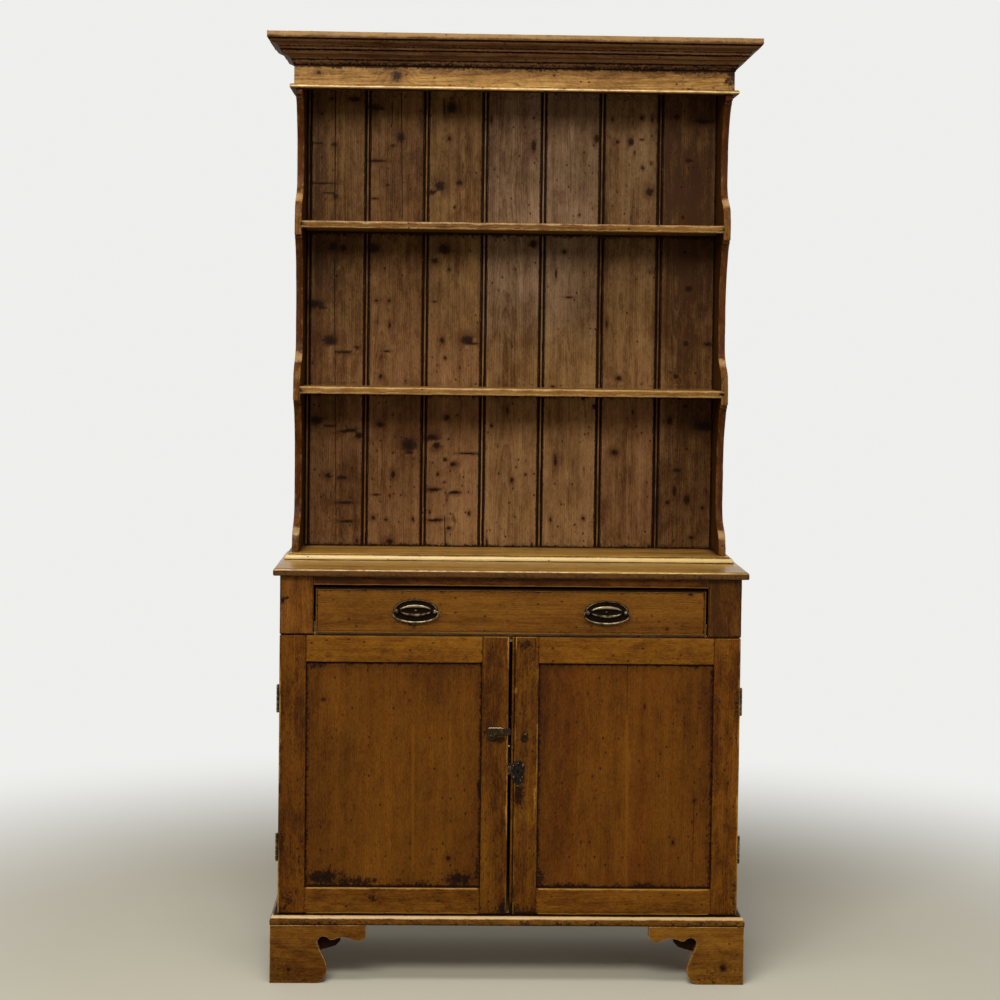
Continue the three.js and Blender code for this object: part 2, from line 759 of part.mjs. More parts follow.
function hingeStile(side) {
  const body = upright(stileOutline(side, halfCarcase, -1, false), [doorBottom, doorTop]);
  const depths = [doorBack - cutOverrun, doorBack + hingeLeafThickness + jointGap];
  return cut(body, ...hingeHeights().map((middle) => leafRecess(side, middle, depths)));
}

function latchStile() {
  const body = upright(stileOutline(-1, meetingEdge, 1, false), [doorBottom, doorTop]);
  const centre = latchPivot();
  const bore = [-faceDepth - cutOverrun, -faceDepth + latchPinLength + jointGap];
  return cut(body, rod('y', latchPinRadius + jointGap, bore, centre, knobSteps));
}

function lockStile() {
  const body = upright(stileOutline(1, meetingEdge, 1, true), [doorBottom, doorTop]);
  const halfWidth = lockBarrelWidth / 2 + jointGap;
  const halfHeight = lockBarrelHeight / 2 + jointGap;
  const x = meetingEdge + lockInset;
  const middle = lockHeight - keySlotDrop / 2;
  const mortise = slab(
    [x - halfWidth, x + halfWidth],
    [doorBack - cutOverrun, faceDepth + cutOverrun],
    [middle - halfHeight, middle + halfHeight],
  );
  return cut(body, mortise);
}

// A rail with a groove in its inner edge and a stub tenon at each end.
function doorRail(side, edge, inward) {
  const innerEdge = edge + inward * railHeight;
  const grooveEnd = innerEdge - inward * panelHousing;
  const section = polygon([
    [doorBack, edge],
    [doorBack, innerEdge],
    [grooveDepths[0], innerEdge],
    [grooveDepths[0], grooveEnd],
    [grooveDepths[1], grooveEnd],
    [grooveDepths[1], innerEdge],
    [faceDepth, innerEdge],
    [faceDepth, edge],
  ]);
  const xs = [side * (doorInner + jointGap), side * (doorOuter - jointGap)].sort((a, b) => a - b);
  const reach = panelHousing - jointGap;
  const tenonXs = [doorInner - reach, doorOuter + reach];
  const tenonHeights = [edge, grooveEnd].sort((a, b) => a - b);
  const tenon = sided(side, tenonXs, [panelBack, panelFront], tenonHeights);
  return joined(lengthwise(section, xs), tenon);
}

function doorPanel(side) {
  const reach = panelHousing - jointGap;
  const xs = [doorInner - reach, doorOuter + reach];
  const heights = [doorBottom + railHeight - reach, doorTop - railHeight + reach];
  return sided(side, xs, [panelBack, panelFront], heights);
}

// Hinges: each leaf carries its own knuckles, and the fixed one also carries the pin.

function hingeLeaf(side, middle, fixed) {
  const low = middle - hingeLength / 2;
  const pitch = hingeLength / knuckleCount;
  const centre = new THREE.Vector3(side * hingeAxisX, -hingeAxisDepth, 0);
  const face = fixed ? carcaseEdge : doorBack;
  const depths = fixed ? [face - hingeLeafThickness, face] : [face, face + hingeLeafThickness];
  const heights = [low, low + hingeLength];
  const plate = sided(side, [halfCarcase - hingeLeafWidth, hingeAxisX], depths, heights);
  const body = joined(plate, rod('z', knuckleRadius, heights, centre));
  const reach = knuckleRadius + knuckleGap;
  const tools = [];
  for (let i = 0; i < knuckleCount; i += 1) {
    const own = (i % 2 === 0) === fixed;
    if (!own) {
      const first = i === 0 ? cutOverrun : knuckleGap;
      const final = i === knuckleCount - 1 ? cutOverrun : knuckleGap;
      const slot = [low + i * pitch - first, low + (i + 1) * pitch + final];
      const slotDepths = [hingeAxisDepth - reach, hingeAxisDepth + reach];
      tools.push(sided(side, [hingeAxisX - reach, hingeAxisX + reach], slotDepths, slot));
    }
  }
  if (!fixed) {
    const bore = [low - cutOverrun, low + hingeLength + cutOverrun];
    tools.push(rod('z', hingePinRadius + jointGap, bore, centre, knobSteps));
    return cut(body, ...tools);
  }
  return joined(cut(body, ...tools), rod('z', hingePinRadius, heights, centre, knobSteps));
}

// Latch: a boss on its pivot pin, with an arm that lies above the pivot and reaches over the gap.

function latchPivot() {
  return new THREE.Vector3(-meetingEdge - latchPivotInset, 0, latchHeight);
}

function latchBar() {
  const pivot = latchPivot();
  const tip = meetingEdge - latchTipGap;
  const armLow = latchHeight + latchArmRise;
  const armHigh = armLow + latchArmHeight;
  const back = pivot.x - latchBossRadius;
  const shape = new THREE.Shape();
  shape.moveTo(back, latchHeight);
  shape.lineTo(back, armHigh);
  shape.lineTo(tip - latchTipRadius, armHigh);
  shape.quadraticCurveTo(tip, armHigh, tip, armHigh - latchTipRadius);
  shape.lineTo(tip, armLow + latchTipRadius);
  shape.quadraticCurveTo(tip, armLow, tip - latchTipRadius, armLow);
  shape.lineTo(pivot.x + latchBossRadius + latchArmRise, armLow);
  shape.quadraticCurveTo(pivot.x + latchBossRadius, armLow, pivot.x + latchBossRadius, latchHeight);
  for (let i = 1; i < curveSteps; i += 1) {
    const angle = (-Math.PI * i) / curveSteps;
    const reach = latchBossRadius * Math.cos(angle);
    shape.lineTo(pivot.x + reach, latchHeight + latchBossRadius * Math.sin(angle));
  }
  shape.closePath();
  const plateBack = faceDepth + jointGap;
  const plateFront = plateBack + latchThickness;
  const plate = facing(shape, [plateBack, plateFront]);
  const head = rod('y', latchHeadRadius, [-plateFront - latchHeadThickness, -plateBack], pivot, knobSteps);
  const pin = rod('y', latchPinRadius, [-plateFront, -faceDepth + latchPinLength], pivot, knobSteps);
  return joined(plate, head, pin);
}

// Lock: a shaped plate on the face, the barrel through the stile, and the case behind it.

// Half of the plate's outline from its crown down to its tip, as shares of half its width and its
// height, measured from the keyhole.
const crownShare = 0.36;
const escutcheonCurveShares = [
  [[0.25, 0.36], [0.3, 0.25]],
  [[0.55, 0.33], [0.95, 0.27]],
  [[1.1, 0.1], [0.72, -0.02]],
  [[1.02, -0.12], [0.85, -0.25]],
  [[0.62, -0.4], [0.3, -0.42]],
  [[0.2, -0.58], [0, -0.64]],
];

function escutcheonOutline(x) {
  const at = (way) => ([u, z]) => [
    x + (way * u * escutcheonWidth) / 2,
    lockHeight + z * escutcheonHeight,
  ];
  const shape = new THREE.Shape();
  shape.moveTo(...at(1)([0, crownShare]));
  for (const [hold, end] of escutcheonCurveShares) {
    shape.quadraticCurveTo(...at(1)(hold), ...at(1)(end));
  }
  for (let i = escutcheonCurveShares.length - 1; i >= 0; i -= 1) {
    const end = i === 0 ? [0, crownShare] : escutcheonCurveShares[i - 1][1];
    shape.quadraticCurveTo(...at(-1)(escutcheonCurveShares[i][0]), ...at(-1)(end));
  }
  return shape;
}

function doorLock() {
  const x = meetingEdge + lockInset;
  const face = faceDepth + jointGap;
  const front = face + escutcheonThickness;
  const plate = facing(escutcheonOutline(x), [face, front]);
  const caseFront = doorBack - jointGap;
  const barrelMiddle = lockHeight - keySlotDrop / 2;
  const barrel = slab(
    [x - lockBarrelWidth / 2, x + lockBarrelWidth / 2],
    [caseFront - lockCaseDepth / 2, face + escutcheonThickness / 2],
    [barrelMiddle - lockBarrelHeight / 2, barrelMiddle + lockBarrelHeight / 2],
  );
  const caseXs = [meetingEdge + lockCaseInset, meetingEdge + lockCaseInset + lockCaseWidth];
  const caseHeights = [lockHeight - lockCaseHeight / 2, lockHeight + lockCaseHeight / 2];
  const box = slab(caseXs, [caseFront - lockCaseDepth, caseFront], caseHeights);
  const centre = new THREE.Vector3(x, 0, lockHeight);
  const holeDepths = [front - keyholeDepth, front + cutOverrun];
  const round = rod('y', keyholeRadius, [-holeDepths[1], -holeDepths[0]], centre, knobSteps);
  const slotXs = [x - keySlotWidth / 2, x + keySlotWidth / 2];
  const slot = slab(slotXs, holeDepths, [lockHeight - keySlotDrop, lockHeight]);
  return cut(joined(plate, barrel, box), round, slot);
}

const [hingeLow, hingeHigh] = hingeHeights();
for (const [word, side] of sides) {
  const door = new THREE.Group();
  dresser.add(door);
  const name = (piece) => `${word}_door_${piece}`;
  add(door, name('hinge_stile'), hingeStile(side), materials.frame);
  add(door, name('lock_stile'), side < 0 ? latchStile() : lockStile(), materials.frame);
  add(door, name('top_rail'), doorRail(side, doorTop, -1), materials.frame);
  add(door, name('bottom_rail'), doorRail(side, doorBottom, 1), materials.frame);
  add(door, name('panel'), doorPanel(side), materials.panel);
  for (const [place, middle] of [['lower', hingeLow], ['upper', hingeHigh]]) {
    add(door, name(`hinge_${place}_leaf`), hingeLeaf(side, middle, false), materials.brass);
    add(base, `${word}_hinge_${place}_fixed`, hingeLeaf(side, middle, true), materials.brass);
  }
}
add(dresser, 'latch_bar', latchBar(), materials.brass);
add(dresser, 'door_lock', doorLock(), materials.iron);

// Rack

const rack = new THREE.Group();
dresser.add(rack);

const tipBlocks = [lowerShelfTop, upperShelfTop].map((top) => {
  const middle = top - rackShelfThickness / 2;
  return [middle - tipBlockHeight / 2, middle + tipBlockHeight / 2];
});

// The curved front edge between the top of one block and the underside of the next.
// The holds of its two curves, as shares of how far each curve rises or drops.
const flareHoldShares = [0.5, 0.35];
const sweepHoldShares = [0.45, 0.3];

function shapedSpan(shape, low, high) {
  const rise = Math.min(flareRise, (high - low) / 2);
  const drop = Math.min(sweepDrop, (high - low) / 2);
  const nib = rackTipDepth - tipNib;
  const step = rackTipDepth - tipStep;
  const underStep = high - tipStepHeight;
  shape.lineTo(rackTipDepth, low);
  shape.lineTo(nib, low);
  const [flareHold, waistHold] = flareHoldShares.map((share) => low + rise * share);
  shape.bezierCurveTo(nib, flareHold, rackWaistDepth, waistHold, rackWaistDepth, low + rise);
  shape.lineTo(rackWaistDepth, high - drop);
  const [sweepHold, stepHold] = sweepHoldShares;
  const reach = step - (step - rackWaistDepth) * stepHold;
  shape.bezierCurveTo(rackWaistDepth, high - drop * sweepHold, reach, underStep, step, underStep);
  shape.lineTo(step, high);
  shape.lineTo(rackTipDepth, high);
}

function rackSide(side) {
  const low = rackFloor + jointGap;
  const shape = new THREE.Shape();
  shape.moveTo(0, low);
  shape.lineTo(rackTipDepth, low);
  const spans = [rackFloor + footTipHeight, ...tipBlocks.flat(), friezeBottom - headTipHeight];
  for (let i = 0; i < spans.length; i += 2) {
    shapedSpan(shape, spans[i], spans[i + 1]);
  }
  shape.lineTo(rackTipDepth, friezeBottom - jointGap);
  shape.lineTo(friezeBack - jointGap, friezeBottom - jointGap);
  shape.lineTo(friezeBack - jointGap, rackCaseTop);
  shape.lineTo(0, rackCaseTop);
  const xs = [side * rackInner, side * halfRack].sort((a, b) => a - b);
  const boards = [
    [lowerShelfTop - rackShelfThickness, lowerShelfTop],
    [upperShelfTop - rackShelfThickness, upperShelfTop],
    [rackTopUnder, corniceBottom],
  ];
  const housings = boards.map((heights) =>
    housing(side, rackInner, rackShelfHousing, heights, rackTipDepth + cutOverrun));
  return cut(lengthwise(shape, xs), ...housings);
}

function rackShelf(top, thickness, frontDepth) {
  const half = rackInner + rackShelfHousing - jointGap;
  return slab([-half, half], [backBoardThickness + jointGap, frontDepth], [top - thickness, top]);
}

// Rack base: a board on the base top, thumb moulded at the front and the sides.
function rackBase() {
  const low = baseTopHeight + jointGap;
  const edge = (shape, at) => {
    const lip = rackFloor - rackBaseLip;
    shape.lineTo(...at(0, low));
    shape.lineTo(...at(0, lip - rackBaseNoseRadius));
    shape.quadraticCurveTo(...at(0, lip), ...at(rackBaseNoseRadius, lip));
    shape.lineTo(...at(rackBaseNoseRadius, rackFloor));
  };
  return nosedBoard(edge, halfRack + rackBaseSideOverhang, rackBaseDepth, [low, rackFloor]);
}

// A matched board: a bead with its quirks at the left edge, a groove there and a tongue at the right.
function backBoard(index) {
  const width = (2 * rackInner) / backBoardCount;
  const left = -rackInner + index * width + jointGap / 2;
  const right = -rackInner + (index + 1) * width - jointGap / 2;
  const front = backBoardThickness;
  const tongue = [(front - backTongueThickness) / 2, (front + backTongueThickness) / 2];
  const beadLeft = left + backQuirkWidth;
  const beadRight = beadLeft + backBeadWidth;
  const radius = backBeadWidth / 2;
  const points = [[left, 0]];
  if (index > 0) {
    const groove = left + backTongueLength + jointGap;
    points.push([left, tongue[0] - jointGap], [groove, tongue[0] - jointGap]);
    points.push([groove, tongue[1] + jointGap], [left, tongue[1] + jointGap]);
  }
  points.push([left, front - backQuirkDepth]);
  for (let i = 0; i <= arcSteps; i += 1) {
    const angle = Math.PI - (Math.PI * i) / arcSteps;
    const rise = backQuirkDepth * Math.sin(angle);
    points.push([beadLeft + radius + radius * Math.cos(angle), front - backQuirkDepth + rise]);
  }
  points.push([beadRight + backQuirkWidth / 2, front - backQuirkDepth]);
  points.push([beadRight + backQuirkWidth, front], [right, front]);
  if (index < backBoardCount - 1) {
    points.push([right, tongue[1]], [right + backTongueLength, tongue[1]]);
    points.push([right + backTongueLength, tongue[0]], [right, tongue[0]]);
  }
  points.push([right, 0]);
  const outline = polygon(points.map(([x, depth]) => [x, -depth]));
  return upright(outline, [rackFloor + jointGap, corniceBottom]);
}

function friezeBoard() {
  const heights = [friezeBottom, rackCaseTop];
  return slab([-friezeEnd, friezeEnd], [friezeBack, friezeFront], heights);
}

// What the frieze takes out of the mouldings that are fixed round it.
function friezeCut() {
  const end = friezeEnd + jointGap;
  const depths = [friezeBack - jointGap, friezeFront + jointGap];
  return slab([-end, end], depths, [friezeBottom - cutOverrun, corniceTop + cutOverrun]);
}

// The bead at the foot of the frieze: a half round under a thin fillet.
function friezeBead() {
  const out = friezeProud + friezeBeadProjection;
  const high = friezeBottom + friezeBeadHeight;
  const middle = friezeBottom + friezeBeadHeight / 2;
  const start = friezeProud + friezeBeadProjection / 2;
  const profile = new THREE.Shape();
  profile.moveTo(jointGap, friezeBottom);
  profile.lineTo(start, friezeBottom);
  profile.quadraticCurveTo(out, friezeBottom, out, middle);
  profile.quadraticCurveTo(out, high, start, high);
  profile.lineTo(jointGap, high);
  return cut(mitredBand(profile, halfRack, rackTipDepth), friezeCut());
}

// The cornice profile from its foot to its top, as shares of its projection and its height.
const corniceShares = {
  foot: [0.02, 0],
  footTop: [0.05, 0.045],
  coveHold: [0.12, 0.27],
  coveEnd: [0.4, 0.33],
  lowFillet: [0.43, 0.35],
  lowFilletTop: [0.47, 0.465],
  cymaStart: [0.55, 0.485],
  cymaHolds: [[0.58, 0.68], [0.86, 0.6]],
  cymaEnd: [0.93, 0.77],
  quirk: [0.93, 0.79],
  filletFoot: [1, 0.79],
};

function cornice() {
  const at = ([out, up]) => [friezeProud + corniceProjection * out, corniceBottom + corniceHeight * up];
  const shares = corniceShares;
  const profile = new THREE.Shape();
  profile.moveTo(jointGap, corniceBottom);
  profile.lineTo(...at(shares.foot));
  profile.lineTo(...at(shares.footTop));
  profile.quadraticCurveTo(...at(shares.coveHold), ...at(shares.coveEnd));
  profile.lineTo(...at(shares.lowFillet));
  profile.lineTo(...at(shares.lowFilletTop));
  profile.lineTo(...at(shares.cymaStart));
  profile.bezierCurveTo(...shares.cymaHolds.flatMap(at), ...at(shares.cymaEnd));
  profile.lineTo(...at(shares.quirk));
  profile.lineTo(...at(shares.filletFoot));
  profile.lineTo(friezeProud + corniceProjection, corniceTop);
  profile.lineTo(jointGap, corniceTop);
  return cut(mitredBand(profile, halfRack, rackTipDepth), friezeCut());
}

for (const [word, side] of sides) {
  add(rack, `rack_side_${word}`, rackSide(side), materials.rack);
}
for (const [word, top] of [['lower', lowerShelfTop], ['upper', upperShelfTop]]) {
  add(rack, `rack_shelf_${word}`, rackShelf(top, rackShelfThickness, rackTipDepth), materials.rack);
}
const topBoard = rackShelf(corniceBottom, rackTopThickness, friezeBack - jointGap);
add(rack, 'rack_top_board', topBoard, materials.inside);
add(rack, 'rack_base_board', rackBase(), materials.top);
for (let i = 0; i < backBoardCount; i += 1) {
  add(rack, `back_board_${i + 1}`, backBoard(i), materials.back);
}
add(rack, 'frieze_board', friezeBoard(), materials.frieze);
add(rack, 'frieze_bead', friezeBead(), materials.frieze);
add(rack, 'cornice_moulding', cornice(), materials.cornice);

export default dresser;
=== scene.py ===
# Welsh dresser in waxed pine: the looks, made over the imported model's frame.
# Shapes are worked out in millimetres in the solids' frame, and each mesh is put in metres.

import math
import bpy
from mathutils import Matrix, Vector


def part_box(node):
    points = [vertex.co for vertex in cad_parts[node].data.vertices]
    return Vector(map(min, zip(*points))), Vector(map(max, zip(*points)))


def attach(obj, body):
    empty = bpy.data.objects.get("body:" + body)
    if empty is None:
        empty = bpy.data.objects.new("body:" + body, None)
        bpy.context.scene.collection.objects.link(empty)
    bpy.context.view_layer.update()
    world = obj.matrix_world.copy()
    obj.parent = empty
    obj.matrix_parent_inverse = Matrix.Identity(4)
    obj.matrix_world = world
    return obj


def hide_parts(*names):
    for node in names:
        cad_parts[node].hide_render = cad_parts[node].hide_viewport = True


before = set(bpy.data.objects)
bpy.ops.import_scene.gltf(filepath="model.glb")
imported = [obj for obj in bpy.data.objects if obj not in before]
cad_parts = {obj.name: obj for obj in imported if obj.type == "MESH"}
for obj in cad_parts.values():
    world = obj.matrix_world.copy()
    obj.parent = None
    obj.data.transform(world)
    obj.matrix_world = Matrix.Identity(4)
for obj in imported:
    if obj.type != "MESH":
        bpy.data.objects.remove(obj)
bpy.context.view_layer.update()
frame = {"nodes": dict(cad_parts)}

import zlib

import bpy
import numpy as np
from mathutils import Matrix, Vector

bl_info = {
    "name": "Welsh Dresser",
    "version": (1, 0, 0),
    "blender": (4, 5, 0),
    "location": "3D View > Sidebar > Dresser",
    "description": "Makes a waxed pine dresser with a rack, a drawer and two framed doors",
    "category": "Object",
}


def span(node):
    """Lowest and highest x, y and z of a CAD node at rest, in millimetres."""
    low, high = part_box(node)
    return [(low[i] * 1000.0, high[i] * 1000.0) for i in range(3)]


# Sizes and colours that a user would change

def length(name, description, default):
    return bpy.props.FloatProperty(name=name, description=description, default=default,
                                   min=0.0, max=1.0, unit="LENGTH")


def share(name, description, default):
    return bpy.props.FloatProperty(name=name, description=description, default=default,
                                   min=0.0, max=1.0, subtype="FACTOR")


def colour(name, description, default):
    return bpy.props.FloatVectorProperty(name=name, description=description, default=default,
                                         min=0.0, max=1.0, size=3, subtype="COLOR")


class DresserSizes(bpy.types.PropertyGroup):
    """Edges, wear and small fittings of the dresser"""
    arris: length("Arris", "Rounding of the boards' edges", 0.0012)
    worn_arris: length("Worn arris", "Rounding where hands and plates have worn an edge", 0.0026)
    chip: share("Chipping", "How much an edge's rounding changes along its length", 0.45)
    wave: length("Waviness", "How far a planed face leaves its plane", 0.00018)
    joint: length("Joint", "Open line at a mitre or a shoulder", 0.00025)
    ring: length("Ring width", "Width of one year's growth in the pine", 0.0034)
    screw_head: length("Screw head", "Radius of the screw heads of the hinges", 0.0028)


class DresserColours(bpy.types.PropertyGroup):
    """Finishes of the dresser"""
    rack: colour("Rack", "Shelves and sides of the rack", (0.125, 0.054, 0.0105))
    back: colour("Back boards", "Boarding behind the shelves", (0.132, 0.060, 0.0205))
    frieze: colour("Frieze", "Board and bead under the cornice", (0.205, 0.100, 0.0235))
    cornice: colour("Cornice", "Moulding at the top", (0.078, 0.034, 0.0122))
    base: colour("Carcase", "Posts, rail and sides of the base", (0.120, 0.0410, 0.0044))
    top: colour("Tops", "Worktop and floor of the rack", (0.265, 0.135, 0.0245))
    plinth: colour("Plinth", "Moulding and feet", (0.131, 0.050, 0.0045))
    drawer: colour("Drawer", "Drawer front", (0.117, 0.0425, 0.0038))
    frame: colour("Door frames", "Stiles and rails", (0.115, 0.0395, 0.0022))
    panel: colour("Door panels", "Panels of the doors", (0.088, 0.0276, 0.0014))
    inside: colour("Inside", "Bare wood inside and behind", (0.300, 0.175, 0.080))
    brass: colour("Brass", "Handles, hinges and latch", (0.132, 0.103, 0.066))
    iron: colour("Iron", "Lock, screws and nails", (0.070, 0.054, 0.034))
    floor: colour("Floor", "Studio floor", (0.510, 0.480, 0.385))


def sizes():
    return bpy.context.scene.dresser_sizes


def colours():
    return bpy.context.scene.dresser_colours


# Smooth noise from seeded sines

def seed_of(*words):
    return zlib.crc32("/".join(str(word) for word in words).encode())


WAVE_SHARES = np.array([1.0, 0.63, 0.41, 0.27, 0.16])


def ripple(s, seed, scale):
    """Noise along a line: a sum of sines whose lengths are shares of scale, about -1 to 1."""
    rng = np.random.default_rng(seed)
    phase = rng.uniform(0, 2 * math.pi, 5)
    lengths = scale * WAVE_SHARES * rng.uniform(0.85, 1.25, 5)
    waves = np.sin(2 * math.pi * np.asarray(s, float)[..., None] / lengths + phase)
    return (waves * WAVE_SHARES ** 0.6).sum(-1) / 1.7


def drift(points, seed, scale):
    """Noise in space: a sum of sines, each across its own direction, about -1 to 1."""
    rng = np.random.default_rng(seed)
    ways = rng.normal(size=(5, 3))
    ways /= np.linalg.norm(ways, axis=1, keepdims=True)
    phase = rng.uniform(0, 2 * math.pi, 5)
    waves = np.sin(points @ ways.T * (2 * math.pi / (scale * WAVE_SHARES)) + phase)
    return (waves * WAVE_SHARES ** 0.6).sum(-1) / 1.7


def ease(value, low, high):
    """0 below low, 1 above high, and a smooth cubic between them."""
    t = np.clip((np.asarray(value, float) - low) / (high - low), 0.0, 1.0)
    return t * t * (3.0 - 2.0 * t)


def fade(distance, reach):
    """1 where the distance is zero or less, and less by a factor of e over each reach."""
    return np.exp(-np.maximum(distance, 0) / reach)


def hump(offset, width):
    """A bell: 1 at no offset, falling away on both sides over its width."""
    return np.exp(-(offset / width) ** 2)


def strongest(*fields):
    """The largest of several fields at each point."""
    return np.maximum.reduce(np.broadcast_arrays(*fields))


def clouds(x, y, z, seed, scale):
    """Drift at three separate coordinates."""
    return drift(np.stack(np.broadcast_arrays(x, y, z), 1), seed, scale)


# Curves of profiles

def quad(a, hold, b, steps):
    """Points of a curve with one hold, without its first: (1-t)^2 a + 2t(1-t) hold + t^2 b."""
    t = np.linspace(0, 1, steps + 1)[1:, None]
    a, hold, b = (np.asarray(p, float) for p in (a, hold, b))
    return (1 - t) ** 2 * a + 2 * t * (1 - t) * hold + t ** 2 * b


def cubic(a, hold_a, hold_b, b, steps):
    """Points of a curve with two holds, without its first."""
    t = np.linspace(0, 1, steps + 1)[1:, None]
    a, hold_a, hold_b, b = (np.asarray(p, float) for p in (a, hold_a, hold_b, b))
    return ((1 - t) ** 3 * a + 3 * t * (1 - t) ** 2 * hold_a
            + 3 * t ** 2 * (1 - t) * hold_b + t ** 3 * b)


def joined(*runs):
    return np.vstack([np.atleast_2d(np.asarray(run, float)) for run in runs])


class Section:
    """A closed outline whose corners are arcs. Every point is a sum that is linear in the corner
    radii and in the insets: corner + inset x mitre + radius x arc, so both can change along a
    sweep. Edge i runs from corner i to corner i + 1 and belongs to an inset group."""

    def __init__(self, corners, radii=0.0, arc=3, groups=None, fine=None):
        corners = np.asarray(corners, float)
        count = len(corners)
        radii = np.broadcast_to(np.asarray(radii, float), (count,)).copy()
        groups = np.zeros(count, int) if groups is None else np.asarray(groups, int)
        following = np.roll(corners, -1, axis=0)
        if (corners[:, 0] * following[:, 1] - corners[:, 1] * following[:, 0]).sum() < 0:
            corners, radii = corners[::-1], radii[::-1]
            groups = np.roll(groups[::-1], -1)
            following = np.roll(corners, -1, axis=0)
        ahead = following - corners
        run = np.linalg.norm(ahead, axis=1)
        ahead /= run[:, None]
        behind = np.roll(ahead, 1, axis=0)
        normal = np.stack([-ahead[:, 1], ahead[:, 0]], 1)
        before = np.roll(normal, 1, axis=0)
        turn = behind[:, 0] * ahead[:, 1] - behind[:, 1] * ahead[:, 0]
        dot = (before * normal).sum(1)
        even = (before + normal) / np.maximum(1 + dot, 0.35)[:, None]
        levels = int(groups.max()) + 1
        mitres = np.zeros((count, levels, 2))
        for level in range(levels):
            a = (np.roll(groups, 1) == level).astype(float)
            b = (groups == level).astype(float)
            safe = np.where(np.abs(turn) > 0.15, turn, 1.0)
            solved = np.stack([a * normal[:, 1] - b * before[:, 1],
                               b * before[:, 0] - a * normal[:, 0]], 1) / safe[:, None]
            mitres[:, level] = np.where((np.abs(turn) > 0.15)[:, None], solved,
                                        even * ((a + b) / 2)[:, None])
        # Arc shapes for a radius of 1: the centre's way, and the way from it to each arc point.
        to_back, to_front = -behind, ahead
        cosine = np.clip((to_back * to_front).sum(1), -0.9999, 0.9999)
        half = np.arccos(cosine) / 2
        bisector = to_back + to_front
        bisector /= np.maximum(np.linalg.norm(bisector, axis=1, keepdims=True), 1e-6)
        centre = bisector / np.sin(half)[:, None]
        start = to_back / np.tan(half)[:, None] - centre
        finish = to_front / np.tan(half)[:, None] - centre
        sweep_angle = math.pi - 2 * half
        f = np.linspace(0, 1, arc + 1)[None, :, None]
        omega = np.maximum(sweep_angle, 1e-3)[:, None, None]
        arcs = centre[:, None] + (np.sin((1 - f) * omega) * start[:, None]
                                  + np.sin(f * omega) * finish[:, None]) / np.sin(omega)
        rounded = radii > 0
        arcs[~rounded] = 0
        keep = rounded[:, None] | (np.arange(arc + 1) == 0)[None]
        owner = np.repeat(np.arange(count), arc + 1).reshape(count, arc + 1)[keep]
        step = np.tile(np.arange(arc + 1), (count, 1))[keep]
        order = owner + 0.4 * step / (arc + 1)
        weight = np.zeros((len(owner), count, 2))
        weight[np.arange(len(owner)), owner] = arcs[owner, step]
        place, mitre = corners[owner], mitres[owner]
        wear = np.where(rounded & (turn > 0.3), 1.0, 0.0)[owner]
        if fine:
            nxt = np.roll(np.arange(count), -1)
            # A long straight run gets extra points, closer together near its ends.
            extra = np.where(run > 3.0, np.maximum(np.ceil(run / fine) - 1, 1), 0).astype(int)
            edge = np.repeat(np.arange(count), extra)
            index = np.arange(len(edge)) - np.repeat(np.cumsum(extra) - extra, extra)
            t = (index + 1) / (extra[edge] + 1)
            t = 0.6 * t + 0.4 * (0.5 - 0.5 * np.cos(math.pi * t))
            between = np.zeros((len(edge), count, 2))
            rows = np.arange(len(edge))
            between[rows, edge] += (1 - t)[:, None] * np.where(
                rounded[edge][:, None], arcs[edge, arc], 0)
            between[rows, nxt[edge]] += t[:, None] * arcs[nxt[edge], 0]
            order = np.concatenate([order, edge + 0.45 + 0.5 * t])
            weight = np.concatenate([weight, between])
            place = np.concatenate([place, corners[edge] * (1 - t)[:, None]
                                    + corners[nxt[edge]] * t[:, None]])
            mitre = np.concatenate([mitre, mitres[edge] * (1 - t)[:, None, None]
                                    + mitres[nxt[edge]] * t[:, None, None]])
            wear = np.concatenate([wear, np.zeros(len(edge))])
        sort = np.argsort(order, kind="stable")
        self.place, self.mitre, self.wear = place[sort], mitre[sort], wear[sort]
        self.weight, self.radii, self.levels = weight[sort], radii, levels


def circle(radius, steps):
    """Corners of a round section about the origin."""
    angle = np.linspace(0, 2 * math.pi, steps, endpoint=False)
    return np.stack([radius * np.cos(angle), radius * np.sin(angle)], 1)


def run(low, high, pitch, ends, steps=3):
    """Stations of a board and its inset at each: a quarter round at either end, s = r(1 - cos a)
    and inset = r(1 - sin a), with even stations between."""
    angle = np.linspace(0, math.pi / 2, steps + 1)
    first, last = ends
    head = low + first * (1 - np.cos(angle)) if first else np.array([low])
    tail = high - last * (1 - np.cos(angle))[::-1] if last else np.array([high])
    inner = tail[0] - head[-1]
    count = max(int(round(inner / pitch)), 1)
    near = np.array([1.5, 4.0]) if inner > 24 and pitch < 20 else np.array([])
    body = np.unique(np.concatenate([
        near, np.linspace(0, inner, count + 1)[1:-1], inner - near]))
    body = body[(body > 0.5) & (body < inner - 0.5)] + head[-1]
    s = np.concatenate([head, body, tail])
    inset = np.concatenate([
        first * (1 - np.sin(angle)) if first else [0.0], np.zeros(len(body)),
        (last * (1 - np.sin(angle)))[::-1] if last else [0.0]])
    return s, inset


def ring_quads(index):
    """Faces between neighbouring rows of points, each of which runs round a ring."""
    ahead = np.roll(index, -1, axis=1)
    return np.stack([index[:-1], ahead[:-1], ahead[1:], index[1:]], -1).reshape(-1, 4)


def tube(points, wear):
    """A part from rows of points that run round it, with a face over its first and last row."""
    index = np.arange(wear.size).reshape(wear.shape)
    return dict(points=points.reshape(-1, 3), quads=ring_quads(index),
                ends=[index[0][::-1].copy(), index[-1].copy()], wear=wear.ravel())


